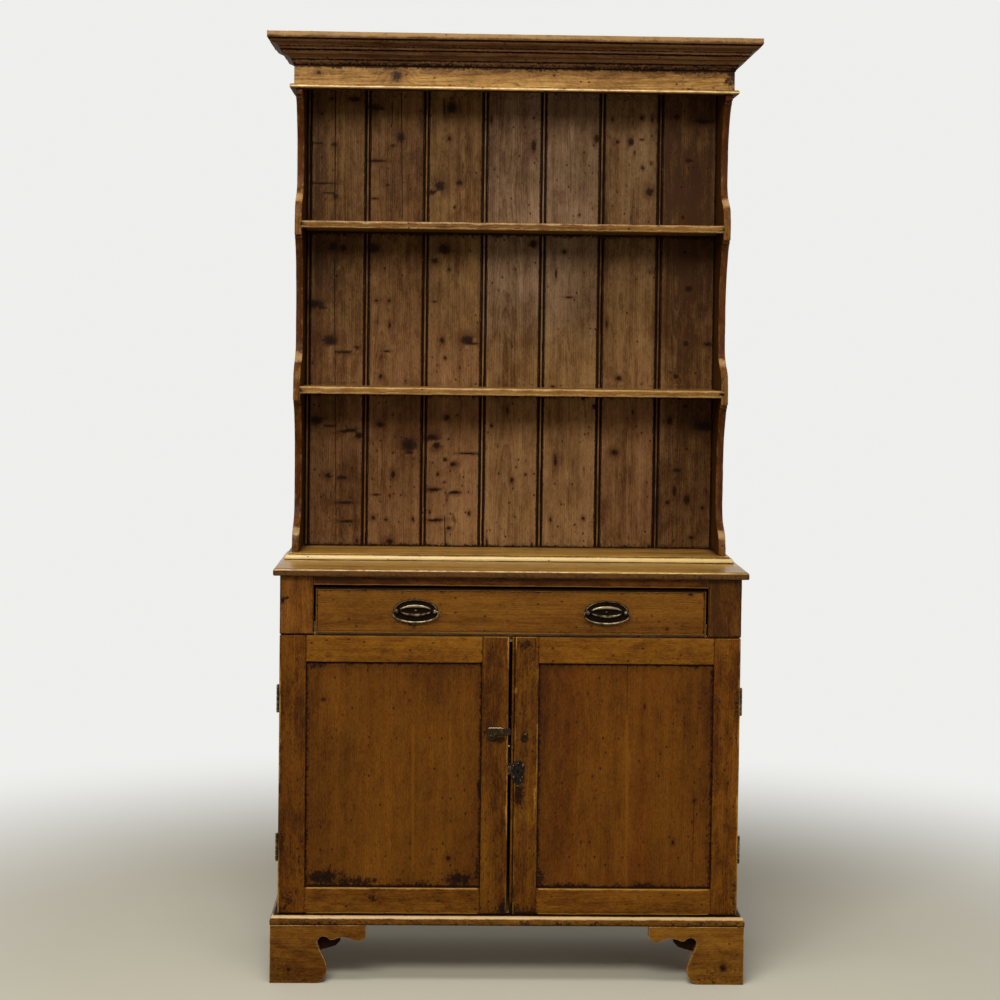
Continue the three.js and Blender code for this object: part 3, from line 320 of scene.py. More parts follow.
def sweep(section, s, insets, place, seed=0, chip=0.0, wave=0.0):
    """Carries a section along the stations s. The point at station k and outline point i is
    place(s, u, v, k), where (u, v) is corner + inset x mitre + radius(s) x arc. Radii change along
    the run by noise, and faces leave their planes by wave. Returns points, quads, end faces, and
    the mask of wear and painted highlights."""
    s = np.asarray(s, float)
    insets = np.asarray(insets, float)
    if insets.ndim == 1:
        insets = np.repeat(insets[:, None], section.levels, axis=1)
    radii = np.tile(section.radii, (len(s), 1))
    if chip:
        shift = np.stack([ripple(s, seed + 7 * k, 90.0 + 11 * (k % 5))
                          for k in range(len(section.radii))], 1)
        nick = np.stack([ripple(s, seed + 7 * k + 3, 37.0) for k in range(len(section.radii))], 1)
        radii = radii * (1 + chip * shift + chip * 2.2 * np.clip(nick - 0.75, 0, None))
        radii = np.maximum(radii, section.radii * 0.3)
    flat = (section.place[None] + np.einsum("mg,ngx->mnx", insets, section.mitre)
            + np.einsum("mk,nkx->mnx", radii, section.weight))
    if wave:
        where = np.concatenate([np.broadcast_to(s[:, None, None] * 0.35, flat.shape[:2] + (1,)),
                                flat], 2)
        flat = flat + wave * drift(where, seed + 1, 110.0)[..., None] * section.mitre.sum(1)[None]
    k = np.arange(len(s))[:, None]
    points = np.stack(np.broadcast_arrays(*place(s[:, None], flat[..., 0], flat[..., 1], k)), -1)
    near_end = (insets.max(1) > 0.02)[:, None] & ((k < 5) | (k > len(s) - 6))
    return tube(points, np.where(near_end & (section.mitre.sum(1) != 0).any(1)[None], 1.0,
                                 section.wear))


def upright(s, u, v, k):
    """A place for a section that lies flat and is carried upwards."""
    return u, v, s


def planed(section, s, insets, place, *words, wave=None):
    """A sweep with the chipped edges and the waves of planed wood, seeded by its words."""
    return sweep(section, s, insets, place, seed_of(*words), sizes().chip,
                 wave or sizes().wave * 1000)


def outward(part):
    """Turns a closed part's faces round where its signed volume is negative."""
    p, q = part["points"], part["quads"]
    total = 0.0
    for a, b, c in ((0, 1, 2), (0, 2, 3)):
        total += np.einsum("ij,ij->", p[q[:, a]], np.cross(p[q[:, b]], p[q[:, c]]))
    for end in part["ends"]:
        fan = p[end]
        total += np.einsum("ij,ij->", np.broadcast_to(fan[0], fan[1:-1].shape),
                           np.cross(fan[1:-1], fan[2:]))
    if total < 0:
        part["quads"] = q[:, ::-1]
        part["ends"] = [end[::-1] for end in part["ends"]]
    return part


# What the wood knows of itself at each point

AXES = {"x": 0, "y": 1, "z": 2}


def blots(x, z, spots):
    """Soft round spots (x, z, half width, half height, strength): the strongest at each point."""
    value = np.zeros(len(x))
    for sx, sz, wide, tall, strength in spots:
        value = np.maximum(value, strength * np.exp(-((x - sx) / wide) ** 2 - ((z - sz) / tall) ** 2))
    return value


def timber(part, name, along="x", face="y", knots=(), cracks=(), soil=None, pith=None, spread=3.0,
           scuffs=(), shade=None):
    """Adds the wood's own coordinates: along the grain, across it and through the board, in metres
    from the heart of its tree, with the nearest knot, the nearest split, wear with painted
    highlights, and soil with painted shade."""
    p = part["points"]
    rng = np.random.default_rng(seed_of(name, "tree"))
    i, k = AXES[along], AXES[face]
    j = 3 - i - k
    middle = (p.max(0) + p.min(0)) / 2
    heart = rng.uniform(-45, 45) if pith is None else pith[0]
    depth = rng.uniform(14, 60) if pith is None else pith[1]
    way = rng.choice([-1.0, 1.0])
    grain = np.stack([way * (p[:, i] - middle[i]) + rng.uniform(3000, 9000),
                      p[:, j] - middle[j] - heart,
                      (p[:, k] - middle[k]) + depth], 1) / 1000.0
    knot = np.zeros((len(p), 3))
    if len(knots):
        table = np.asarray(knots, float)  # place along, place across, half length, half width
        u = (p[:, i, None] - table[None, :, 0]) / table[None, :, 2]
        v = (p[:, j, None] - table[None, :, 1]) / table[None, :, 3]
        q = np.sqrt(u * u + v * v)
        nearest = np.argmin(q, axis=1)
        rows = np.arange(len(p))
        q = q[rows, nearest]
        knot = np.stack([u[rows, nearest], v[rows, nearest], 1 - ease(q, spread, spread + 1.5)], 1)
        # Faces between two knots hold neither, or a third would show there.
        mixed = part["quads"][np.ptp(nearest[part["quads"]], axis=1) > 0].ravel()
        knot[mixed[q[mixed] > 0.9], 2] = 0.0
    crack = np.zeros((len(p), 3))
    crack[:, 0] = 50.0
    for line in cracks:
        line = np.asarray(line, float)  # place along, place across, half width
        across = np.interp(p[:, i], line[:, 0], line[:, 1])
        wide = np.interp(p[:, i], line[:, 0], line[:, 2])
        inside = (ease(p[:, i], line[0, 0] - 6, line[0, 0] + 6)
                  * (1 - ease(p[:, i], line[-1, 0] - 6, line[-1, 0] + 6)))
        off = p[:, j] - across
        nearer = (np.abs(off) < np.abs(crack[:, 0])) & (inside > 0.01)
        # A split is dark, and a line with a width below zero is a pale one.
        crack[nearer] = np.stack([off, np.abs(wide), inside * np.sign(wide)], 1)[nearer]
    # Marks: wear with painted highlights, soil with painted shade, and scuffs
    marks = np.zeros((len(p), 3))
    marks[:, 0] = part["wear"]
    if soil is not None:
        marks[:, 1] = np.clip(soil(p[:, 0], p[:, 1], p[:, 2]), 0, 1)
    if len(scuffs):
        marks[:, 2] = blots(p[:, 0], p[:, 2], scuffs)
    tone = np.zeros((len(p), 3))
    if shade is not None:
        tones = shade(p[:, 0], p[:, 1], p[:, 2])
        for column, values in enumerate(tones if isinstance(tones, tuple) else (tones,)):
            tone[:, column] = values
    part["fields"] = dict(grain=grain, knot=knot, crack=crack, marks=marks, tone=tone)
    return part


# Tone of single pieces against their finish: lighter or darker, and redder or yellower. The top
# rail's darkening is painted shade under the worktop's nose, and the frieze bead's lightening a
# painted highlight.
TONES = {
    "drawer_post_right": (-0.37, -0.20), "drawer_post_left": (0.02, 0.02),
    "left_door_hinge_stile": (-0.25, 0.03), "left_door_lock_stile": (-0.25, 0.0),
    "right_door_lock_stile": (-0.15, -0.03), "right_door_hinge_stile": (-0.08, 0.04),
    "left_door_top_rail": (0.07, -0.03), "right_door_top_rail": (0.08, -0.02),
    "right_door_bottom_rail": (-0.01, 0.02), "left_door_panel": (0.0, -0.04),
    "right_door_panel": (0.02, 0.0), "back_board_1": (-0.20, 0.0), "back_board_2": (-0.13, 0.02),
    "back_board_3": (-0.03, 0.02), "back_board_4": (0.07, -0.05), "back_board_5": (0.07, -0.05),
    "back_board_6": (-0.05, 0.0), "back_board_7": (-0.33, -0.08),
    "foot_front_left": (-0.13, 0.02), "foot_front_right": (0.08, 0.0),
    "rack_shelf_lower": (0.18, 0.0), "rack_shelf_upper": (-0.06, -0.01),
    "rack_side_left": (-0.33, 0.03), "rack_side_right": (-0.28, 0.03),
    "top_rail": (-0.34, 0.0), "frieze_bead": (0.22, 0.0),
}


def make(name, parts, slot, body="case", replaces=True):
    """Puts closed parts into one mesh, in metres, with their fields as point attributes, and ties
    the piece to its body, its finish and the CAD node of its name, if it stands for one."""
    quads, ends, total = [], [], 0
    for part in parts:
        outward(part)
        quads.append(part["quads"] + total)
        ends += [end + total for end in part["ends"]]
        total += len(part["points"])
    quads = np.concatenate(quads)
    loops = np.concatenate([quads.ravel()] + ends).astype(np.int32)
    counts = np.concatenate([np.full(len(quads), 4), [len(end) for end in ends]]).astype(np.int32)
    begin = (np.cumsum(counts) - counts).astype(np.int32)
    points = np.concatenate([part["points"] for part in parts]) / 1000.0
    mesh = bpy.data.meshes.new(name)
    mesh.vertices.add(len(points))
    mesh.vertices.foreach_set("co", points.astype(np.float32).ravel())
    mesh.loops.add(len(loops))
    mesh.loops.foreach_set("vertex_index", loops)
    mesh.polygons.add(len(begin))
    mesh.polygons.foreach_set("loop_start", begin)
    mesh.update(calc_edges=True)
    if mesh.validate():
        raise RuntimeError(name + " has a broken face")
    if "fields" in parts[0]:
        fields = {key: np.concatenate([part["fields"][key] for part in parts])
                  for key in parts[0]["fields"]}
        fields["tone"] = fields["tone"] + np.array(TONES.get(name, (0.0, 0.0)) + (0.0,))
    else:
        clear = np.concatenate([part["wear"] for part in parts])
        soiled_and_shaded = np.concatenate([part.get("soil", part["wear"] * 0) for part in parts])
        fields = {"marks": np.stack([clear, soiled_and_shaded, clear * 0], 1)}
    for key, values in fields.items():
        store = mesh.attributes.new(key, "FLOAT_VECTOR", "POINT")
        store.data.foreach_set("vector", values.astype(np.float32).ravel())
    mesh.shade_smooth()
    mesh.set_sharp_from_angle(angle=math.radians(36))
    mesh.materials.append(finish(slot))
    piece = bpy.data.objects.new(name, mesh)
    bpy.context.scene.collection.objects.link(piece)
    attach(piece, body)
    if replaces:
        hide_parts(name)


# Shader maths as expressions

class Wire:
    """A socket that Python's operators turn into Math nodes."""

    def __init__(self, web, socket):
        self.web, self.socket = web, socket

    def __add__(self, other): return self.web.math("ADD", self, other)
    def __radd__(self, other): return self.web.math("ADD", other, self)
    def __sub__(self, other): return self.web.math("SUBTRACT", self, other)
    def __rsub__(self, other): return self.web.math("SUBTRACT", other, self)
    def __mul__(self, other): return self.web.math("MULTIPLY", self, other)
    def __rmul__(self, other): return self.web.math("MULTIPLY", other, self)
    def __truediv__(self, other): return self.web.math("DIVIDE", self, other)
    def __pow__(self, other): return self.web.math("POWER", self, other)


class Web:
    """The nodes of one material or of the world."""

    def __init__(self, owner):
        owner.use_nodes = True
        self.owner, self.tree = owner, owner.node_tree
        self.tree.nodes.clear()

    def node(self, kind, out=0, settings=None, **values):
        """Adds a node, sets its settings first and then its sockets' values or links."""
        node = self.tree.nodes.new(kind)
        for key, value in (settings or {}).items():
            if key == "stops":
                ramp = node.color_ramp
                while len(ramp.elements) < len(value):
                    ramp.elements.new(0.5)
                for element, (place, tint) in zip(ramp.elements, value):
                    element.position, element.color = place, (*tint, 1.0)
            else:
                setattr(node, key, value)
        for key, value in values.items():
            socket = node.inputs[int(key[1:]) if key[0] == "i" and key[1:].isdigit()
                                 else key.replace("_", " ")]
            if isinstance(value, Wire):
                self.tree.links.new(value.socket, socket)
            else:
                socket.default_value = value
        return node if out is None else Wire(self, node.outputs[out])

    def math(self, operation, *values, clamp=False):
        return self.node("ShaderNodeMath", 0, {"operation": operation, "use_clamp": clamp},
                         **{f"i{n}": value for n, value in enumerate(values)})

    def vector(self, operation, *values, out=0):
        return self.node("ShaderNodeVectorMath", out, {"operation": operation},
                         **{f"i{n}": value for n, value in enumerate(values)})

    def mix(self, factor, a, b, blend="MIX"):
        a, b = (value if isinstance(value, Wire) else (*value, 1.0) for value in (a, b))
        return self.node("ShaderNodeMix", 2, {"data_type": "RGBA", "blend_type": blend,
                                              "clamp_factor": True}, i0=factor, i6=a, i7=b)

    def ease(self, value, low, high):
        return self.node("ShaderNodeMapRange", 0, {"interpolation_type": "SMOOTHSTEP"},
                         i0=value, i1=low, i2=high)

    def noise(self, vector, scale, detail, rough=0.5):
        return self.node("ShaderNodeTexNoise", 0, None, Vector=vector, Scale=scale, Detail=detail,
                         Roughness=rough)

    def attribute(self, name):
        return self.node("ShaderNodeAttribute", "Vector", {"attribute_name": name})

    def parts(self, vector):
        node = self.node("ShaderNodeSeparateXYZ", None, None, Vector=vector)
        return [Wire(self, socket) for socket in node.outputs]

    def whole(self, x, y, z):
        return self.node("ShaderNodeCombineXYZ", 0, None, X=x, Y=y, Z=z)

    def finish(self, shader, kind="Material"):
        end = self.tree.nodes.new("ShaderNodeOutput" + kind)
        self.tree.links.new(shader.socket, end.inputs["Surface"])
        return self.owner


def shaded(colour, factors):
    return tuple(min(c * f, 1.0) for c, f in zip(colour, factors))


def pine(name, tint, ring=1.0, stripe=1.0, cloudy=1.0, speck=1.0, knots=True, splits=False,
         gloss=0.42, coat=0.0, wax=0.35, shine=0.07, rub=(2.3, 2.7, 3.4)):
    """Pine under old wax. A year's ring is the distance from the heart of the tree plus a taper
    along it, bent by noise and by knots. Late wood darkens slowly and ends sharply. Over it lie
    fibres, clouds of old polish, worm holes, soil and painted shade in the corners, and wear and
    painted highlights on the arrises."""
    web = Web(bpy.data.materials.new(name))
    grain = web.attribute("grain")
    along, across, through = web.parts(grain)
    wear, soil, scuff = web.parts(web.attribute("marks"))
    value, red, worm = web.parts(web.attribute("tone"))

    def drawn(x, y, detail, rough=0.55):
        return web.noise(web.vector("MULTIPLY", grain, (x, y, y)), 1.0, detail, rough)

    slow, bend = drawn(2.2, 9.0, 2.0), drawn(7.0, 40.0, 3.0)
    reach = web.math("SQRT", across * across + through * through)
    rings = reach + along * 0.018 + (slow - 0.5) * 0.030 + (bend - 0.5) * 0.0035
    streak, fibre = drawn(1.6, 75.0, 4.0, 0.6), drawn(14.0, 900.0, 3.0, 0.65)
    cloud, mottle = drawn(4.0, 9.0, 4.0, 0.6), drawn(26.0, 60.0, 4.0, 0.65)
    dash, grit = drawn(125.0, 430.0, 2.0), web.noise(grain, 640.0, 2.0, 0.6)
    flake = web.noise(grain, 165.0, 4.0, 0.72)
    if knots:
        u, v, near = web.parts(web.attribute("knot"))
        round_off = web.math("SQRT", u * u + v * v)
        long_off = web.math("SQRT", u * u * 0.16 + v * v * 0.9)
        rings = rings + web.math("EXPONENT", long_off * long_off * -0.55) * near * 0.010
        ragged = (round_off + (web.noise(grain, 190.0, 4.0, 0.7) - 0.5) * 1.8
                  + (grit - 0.5) * 0.6)
        eye = web.ease(ragged, 1.40, 0.45) * near
        rim = web.ease(ragged, 3.5, 0.8) * near
        heart_rings = web.math("SINE", ragged * 11.0) * 0.5 + 0.5
    year = rings / sizes().ring
    late = web.math("FRACT", year) ** 2.6
    years = web.noise(web.whole(year, 0.0, 0.0), 0.33, 2.0)
    bands = web.noise(web.whole(year, across * 20.0, 0.0), 0.085, 2.0)
    tone = (0.55 + value
            - late * (0.34 * ring) * (0.30 + years)
            + (bands - 0.5) * (0.80 * stripe)
            + (streak - 0.5) * (1.0 * stripe)
            + (fibre - 0.5) * (0.45 * speck)
            + (dash - 0.5) * (0.75 * speck)
            + (cloud - 0.5) * (0.80 * cloudy)
            + (mottle - 0.5) * (0.75 * cloudy)
            + 0.05 * ring)
    deep, pale = shaded(tint, (0.30, 0.23, 0.19)), shaded(tint, (2.0, 2.3, 2.7))
    base = web.node("ShaderNodeValToRGB", 0, {"stops": [
        (0.02, deep), (0.27, shaded(tint, (0.62, 0.54, 0.46))), (0.52, tint),
        (0.78, shaded(tint, (1.46, 1.56, 1.7))), (1.0, pale)]}, Fac=tone)
    base = web.mix(web.ease(red, 0.0, 0.12), base,
                   web.mix(1.0, base, (1.14, 0.90, 0.86), "MULTIPLY"))
    base = web.mix(web.ease(red, 0.0, -0.12), base,
                   web.mix(1.0, base, (0.98, 1.07, 1.0), "MULTIPLY"))
    base = web.mix(web.ease(red, -0.13, -0.30), base,
                   web.mix(1.0, base, (1.0, 1.11, 1.68), "MULTIPLY"))
    dark = shaded(tint, (0.085, 0.055, 0.045))
    # Pores, and patches where old polish has gone dark
    base = web.mix(web.ease(dash, 0.62, 0.74) * (0.6 * speck), base, deep)
    patch = web.ease(cloud * 0.45 + mottle * 0.55 + (grit - 0.5) * 0.14, 0.545, 0.68)
    base = web.mix(patch * (0.62 * cloudy), base, shaded(tint, (0.36, 0.27, 0.20)))
    # Worm holes in a few cells, each with a stain about it
    cells = web.node("ShaderNodeTexVoronoi", None, {"feature": "F1"},
                     Vector=web.vector("MULTIPLY", grain, (0.7, 1.0, 1.0)), Scale=88.0)
    spot = Wire(web, cells.outputs["Distance"]) + (grit - 0.5) * 0.10
    chance = web.parts(Wire(web, cells.outputs["Color"]))[0]
    few = web.ease(chance * 0.75 + cloud * 0.5 + worm, 0.80, 0.86)
    hole = web.ease(spot, 0.15, 0.10) * few
    base = web.mix(web.ease(spot, 0.30, 0.12) * few * 0.6, base, shaded(tint, (0.34, 0.20, 0.14)))
    if knots:
        base = web.mix(rim * web.ease(mottle + (grit - 0.5) * 0.3, 0.26, 0.62) * 0.78, base,
                       shaded(tint, (0.42, 0.31, 0.22)))
        base = web.mix(eye, base, web.mix(heart_rings * 0.8, shaded(tint, (0.13, 0.10, 0.10)),
                                          shaded(tint, (0.045, 0.038, 0.045))))
    # Soil and painted shade darken the corners, thicker where the wood is rough
    touched = web.ease(soil, 0.0, 0.25)
    rough_soil_and_shade = web.ease(soil * 1.35 + ((mottle - 0.5) * 1.3 + (flake - 0.5) * 2.0
                                         + (grit - 0.5) * 0.9) * touched, 0.32, 0.90)
    base = web.mix(rough_soil_and_shade * 0.97, base, shaded(dark, (0.8, 0.8, 0.8)))
    # Wear and painted highlights lighten the wood towards the rub colour
    rubbed = web.ease(wear + (mottle - 0.5) * 0.9 + (flake - 0.5) * 0.8 + (grit - 0.5) * 0.4,
                      0.45, 1.10)
    pale_marks = web.ease(scuff + (mottle - 0.5) * 2.4 + (grit - 0.5) * 1.4, 0.62, 1.0)
    base = web.mix(web.math("MAXIMUM", rubbed * 0.75, pale_marks * web.ease(scuff, 0.05, 0.4)
                            * 0.6), base, shaded(tint, rub))
    base = web.mix(hole * 0.9, base, (0.006, 0.004, 0.003))
    relief = fibre * 0.30 - late * 0.35 + mottle * 0.5 - hole * 3.0 - rough_soil_and_shade * 0.3
    if splits:
        off, wide, open_ = web.parts(web.attribute("crack"))
        wander = (web.noise(web.vector("MULTIPLY", grain, (60.0, 8.0, 8.0)), 1.0, 3.0) - 0.5) * 2.4
        gap = web.math("ABSOLUTE", off + wander) / web.math("MAXIMUM", wide, 0.05)
        line = web.ease(gap, 1.5, 0.6) * web.math("MAXIMUM", open_, 0.0)
        bright = web.ease(gap, 2.0, 0.0) * web.math("MAXIMUM", open_ * -1.0, 0.0)
        base = web.mix(line, base, (0.005, 0.003, 0.002))
        base = web.mix(bright * 0.45, base, shaded(tint, (1.9, 2.1, 2.3)))
        relief = relief - line * 6.0
    if knots:
        relief = relief + eye * 0.8
    rough = gloss + (cloud - 0.5) * 0.20 + rough_soil_and_shade * 0.25 + (fibre - 0.5) * 0.12 - rubbed * 0.05
    bump = web.node("ShaderNodeBump", 0, None, Strength=0.40, Distance=0.0006, Height=relief)
    polish = rubbed * wax * (1.0 - rough_soil_and_shade) + coat
    shader = web.node("ShaderNodeBsdfPrincipled", 0, None, Base_Color=base, Roughness=rough,
                      Normal=bump, Coat_Weight=polish, Coat_Roughness=0.22,
                      Specular_IOR_Level=shine)
    return web.finish(shader)


def metal(name, tint, dull=0.42, metalness=1.0):
    """Old metal: clear where it stands proud and is rubbed, and where a highlight is painted, and
    nearly black in the hollows, in patches of tarnish and where shade is painted."""
    web = Web(bpy.data.materials.new(name))
    wear, soil, _ = web.parts(web.attribute("marks"))
    where = web.node("ShaderNodeTexCoord", "Object")
    cloud = web.noise(where, 90.0, 4.0, 0.6)
    fine = web.noise(where, 620.0, 3.0, 0.6)
    clear = web.ease(wear + (cloud - 0.5) * 1.5 + (fine - 0.5) * 0.9, 0.30, 0.95)
    base = web.mix(clear, shaded(tint, (0.20, 0.15, 0.11)), shaded(tint, (1.75, 1.75, 1.7)))
    base = web.mix(web.ease(soil + (fine - 0.5) * 0.5, 0.35, 0.8) * 0.95, base,
                   shaded(tint, (0.06, 0.045, 0.035)))
    rough = dull + (fine - 0.5) * 0.26 - clear * 0.12 + soil * 0.3
    bump = web.node("ShaderNodeBump", 0, None, Strength=0.35, Distance=0.0003,
                    Height=cloud * 0.6 + fine * 0.4)
    shader = web.node("ShaderNodeBsdfPrincipled", 0, None, Base_Color=base, Metallic=metalness,
                      Roughness=rough, Normal=bump)
    return web.finish(shader)


# What each wood changes in the settings of pine, and each metal in those of metal
WOODS = {
    "rack": dict(ring=0.8, cloudy=1.1, coat=0.02, gloss=0.40, shine=0.04, rub=(2.9, 4.0, 7.5)),
    "back": dict(ring=0.9, stripe=0.8, cloudy=1.35, speck=0.9, splits=True, gloss=0.5, shine=0.04),
    "frieze": dict(stripe=1.6, cloudy=1.4, rub=(3.9, 6.2, 14.0)),
    "cornice": dict(ring=0.8, stripe=1.4, cloudy=1.2, knots=False, gloss=0.55, wax=0.05,
                    shine=0.03, rub=(3.5, 4.7, 4.7)),
    "base": dict(ring=0.6, stripe=0.8, cloudy=1.2),
    "top": dict(ring=0.8, speck=0.8, coat=0.08, gloss=0.30, shine=0.09, rub=(2.5, 3.6, 8.0)),
    "plinth": dict(ring=0.6, stripe=0.7, cloudy=1.5, rub=(4.6, 8.0, 40.0)),
    "drawer": dict(ring=0.5, stripe=0.8, cloudy=0.8),
    "frame": dict(ring=0.5, stripe=0.6, cloudy=1.4, speck=1.3, splits=True, rub=(3.0, 4.2, 9.0)),
    "panel": dict(ring=0.3, stripe=0.4, cloudy=0.9, speck=1.3, splits=True),
    "inside": dict(ring=1.2, cloudy=0.8, knots=False, gloss=0.68, shine=0.2),
}
METALS = {"brass": {}, "iron": dict(dull=0.45, metalness=0.85)}
FINISHES = {}


def finish(slot):
    """The material of a finish slot, made once. Its colour goes by the slot's first word."""
    if slot not in FINISHES:
        word = slot.split("_")[0]
        kind, settings = (metal, METALS) if word in METALS else (pine, WOODS)
        FINISHES[slot] = kind(slot, getattr(colours(), word), **settings[word])
    return FINISHES[slot]


# Pieces

GAP = 0.3  # open line between boards that are glued or housed, as in the solids


def board(node, along, face, box=None, radii=None, fine=12.0, pitch=9.0, name=None, rubbed=1.0,
          **wood):
    """A plain board in the place of a CAD node: a rectangle with rounded corners, carried along
    its grain, with rounded ends."""
    name = name or node
    box = box or span(node)
    i, k = AXES[along], AXES[face]
    j = 3 - i - k
    (low, high), (a0, a1), (b0, b1) = box[i], box[j], box[k]
    radii = sizes().arris * 1000 if radii is None else radii
    section = Section([(a0, b0), (a1, b0), (a1, b1), (a0, b1)], radii, fine=fine)
    end = float(min(np.min(radii), 1.2))

    def place(s, u, v, _):
        at = {i: s, j: u, k: v}
        return at[0], at[1], at[2]

    part = planed(section, *run(low, high, pitch, (end, end)), place, name)
    part["wear"] *= rubbed
    return timber(part, name, along, face, **wood)


def plain(node, along, face, slot, body="case", **more):
    """A piece that is one board."""
    make(node, [board(node, along, face, **more)], slot, body)


def edge_distance(x, z, x0, x1, z0, z1):
    """How far a point lies inside the nearest edge of a rectangle."""
    return np.minimum(np.minimum(x - x0, x1 - x), np.minimum(z - z0, z1 - z))


def moulding(name, slot, profile, radii, front_inner, half, front, back, pitch, worn, soil):
    """A moulding round the front and both sides in three lengths, mitred at the corners. The
    profile is (out, height), and a front length's point is x from -(half + out) to half + out. Its
    worn mask gives wear and painted highlights, and its soil mask soil and painted shade."""
    gap = sizes().joint * 500
    parts = []
    for leg, side in (("front", 0), ("left", -1), ("right", 1)):
        outline = profile(GAP if side else front_inner)
        section = Section(outline, radii(len(outline)), fine=14.0)
        scale = back - front if side else 2 * half
        stations = np.linspace(0, 1, int(scale / pitch)) * scale

        def place(s, out, up, _):
            if side:
                begin = front - out + gap
                return side * (half + out), begin + (back - begin) * (s / scale), up
            reach = half + out - gap
            return -reach + 2 * reach * (s / scale), front - out, up
        part = planed(section, stations, stations * 0, place, name, leg)
        timber(part, name + leg, *("yx" if side else "xy"), soil=soil)
        marks = part["fields"]["marks"]
        marks[:, 0] = np.maximum(marks[:, 0] * 0.4, worn(part["points"]))
        parts.append(part)
    make(name, parts, slot)


RACK_HALF = span("rack_side_right")[0][1]
RACK_INNER = RACK_HALF - 16.0
TIPS = span("rack_side_right")[1][0]
BACK = span("back_board_1")[1][1]


class DRESSER_OT_crown(bpy.types.Operator):
    """Makes the cornice, the frieze board and the bead under it"""
    bl_idname = "dresser.crown"
    bl_label = "Cornice and frieze"

    def execute(self, context):
        low, high = span("cornice_moulding")[2]
        foot, tall = 3.0, high - low
        wide = span("cornice_moulding")[0][1] - RACK_HALF - foot

        def at(out, up):
            return (foot + wide * out, low + tall * up)

        def profile(inner):
            return joined(
                [(inner, low), at(0.02, 0), at(0.05, 0.045)],
                quad(at(0.05, 0.045), at(0.12, 0.27), at(0.40, 0.33), 9),
                [at(0.43, 0.35), at(0.47, 0.465), at(0.55, 0.485)],
                cubic(at(0.55, 0.485), at(0.58, 0.68), at(0.86, 0.60), at(0.93, 0.77), 12),
                [at(0.93, 0.79), at(1, 0.79), (foot + wide, high), (inner, high)])

        def radii(count):
            r = np.zeros(count)
            r[[-2, -3]] = 1.6
            r[12] = r[13] = 0.7
            return r

        # The pale top fillet is wear and a painted highlight; the hump lower down is a painted
        # highlight on the cyma
        def worn(p):
            up = (p[:, 2] - low) / tall
            return ease(up, 0.80, 0.86) + 0.35 * hump(up - 0.68, 0.05)

        # Dark at the bottom and in the quirks and hollows of the profile: painted shade over some soil
        def soil(x, y, z):
            up = (z - low) / tall
            return np.exp(-up / 0.05) + sum(deep * hump(up - level, reach) for level, reach, deep in (
                (0.772, 0.030, 1.0), (0.570, 0.022, 0.75), (0.465, 0.030, 0.85),
                (0.19, 0.03, 0.7), (0.10, 0.07, 0.3)))

        around = (foot + GAP, RACK_HALF, TIPS, BACK)
        moulding("cornice_moulding", "cornice_pine", profile, radii, *around, 7.0, worn, soil)

        low, high = span("frieze_bead")[2]
        reach = span("frieze_bead")[0][1] - RACK_HALF
        middle, start = (low + high) / 2, 8.0

        def bead(inner):
            return joined([(inner, low), (start, low)],
                          quad((start, low), (reach, low), (reach, middle), 5),
                          quad((reach, middle), (reach, high), (start, high), 5), [(inner, high)])

        # The bead has a painted highlight along its round, painted shade along its bottom and a dark
        # line at its top where it meets the frieze
        moulding("frieze_bead", "frieze_pine", bead, lambda count: 0.0, *around, 9.0,
                 lambda p: 1.1 * hump(p[:, 2] - middle - 0.3, 1.7),
                 lambda x, y, z: (0.75 * (1 - ease(z, low, low + 3.0))
                                  + 0.8 * ease(z, high - 1.5, high - 0.3)))
        # The frieze board is painted darker towards its top and dark along its top edge: painted shade
        # under the cornice; the dark line over the bead is a joint, and the right end's patches are
        # dirt
        plain("frieze_board", "x", "y", "frieze_pine", pitch=6.0, fine=5.0, rubbed=0.4,
              knots=[(-262, 1964, 12, 12), (-434, 1969, 6, 4), (86, 1971, 3, 3)],
              shade=lambda x, y, z: 0.12 - 0.26 * ease(z, 1950, 1978),
              soil=lambda x, y, z: (fade(1984 - z, 3.0) + 0.8 * fade(z - 1944, 1.2)
                                    + 0.55 * ease(x, 300, 470) * ease(clouds(x, y, z, 5, 60), 0, 0.9)))
        return {"FINISHED"}


def sweeping_edge(floor, blocks, frieze_low, bottom, tip):
    """The front edge of a rack side as depths and heights from the bottom up: straight blocks, a
    flare out of each, a run at the waist, and a sweep out to the next block over a small step."""
    waist = 104.0
    levels = [floor + 20, *[z for block in blocks for z in block], frieze_low - 12]
    depth, height = [tip, tip], [bottom + 1.0, bottom + 3.0]
    nib, step = tip - 4, tip - 14
    for low, high in zip(levels[::2], levels[1::2]):
        rise, drop = min(88.0, (high - low) / 2), min(150.0, (high - low) / 2)
        flare = cubic((nib, low), (nib, low + rise * 0.5), (waist, low + rise * 0.35),
                      (waist, low + rise), 16)
        under = high - 7
        fall = cubic((waist, high - drop), (waist, high - drop * 0.45),
                     (step - (step - waist) * 0.3, under), (step, under), 22)
        count = max(int((high - drop - low - rise) / 9), 1)
        straight = np.linspace(low + rise, high - drop, count + 1)[1:]
        shape = joined([(tip, low - 1.2), (tip - 0.5, low - 0.3), (nib + 0.6, low),
                        (nib, low + 0.6)], flare, np.stack([np.full(count, waist), straight], 1),
                       fall, [(step, under + 0.8), (step, high - 0.7), (step + 0.5, high - 0.1),
                              (tip - 0.6, high + 0.1), (tip, high + 0.9)])
        shape = shape[np.concatenate([[True], np.diff(shape[:, 1]) > 0.04])]
        between = np.arange(height[-1] + 9, shape[0, 1] - 4, 9.0)
        depth += [tip] * len(between) + list(shape[:, 0])
        height += list(between) + list(shape[:, 1])
    return depth, height


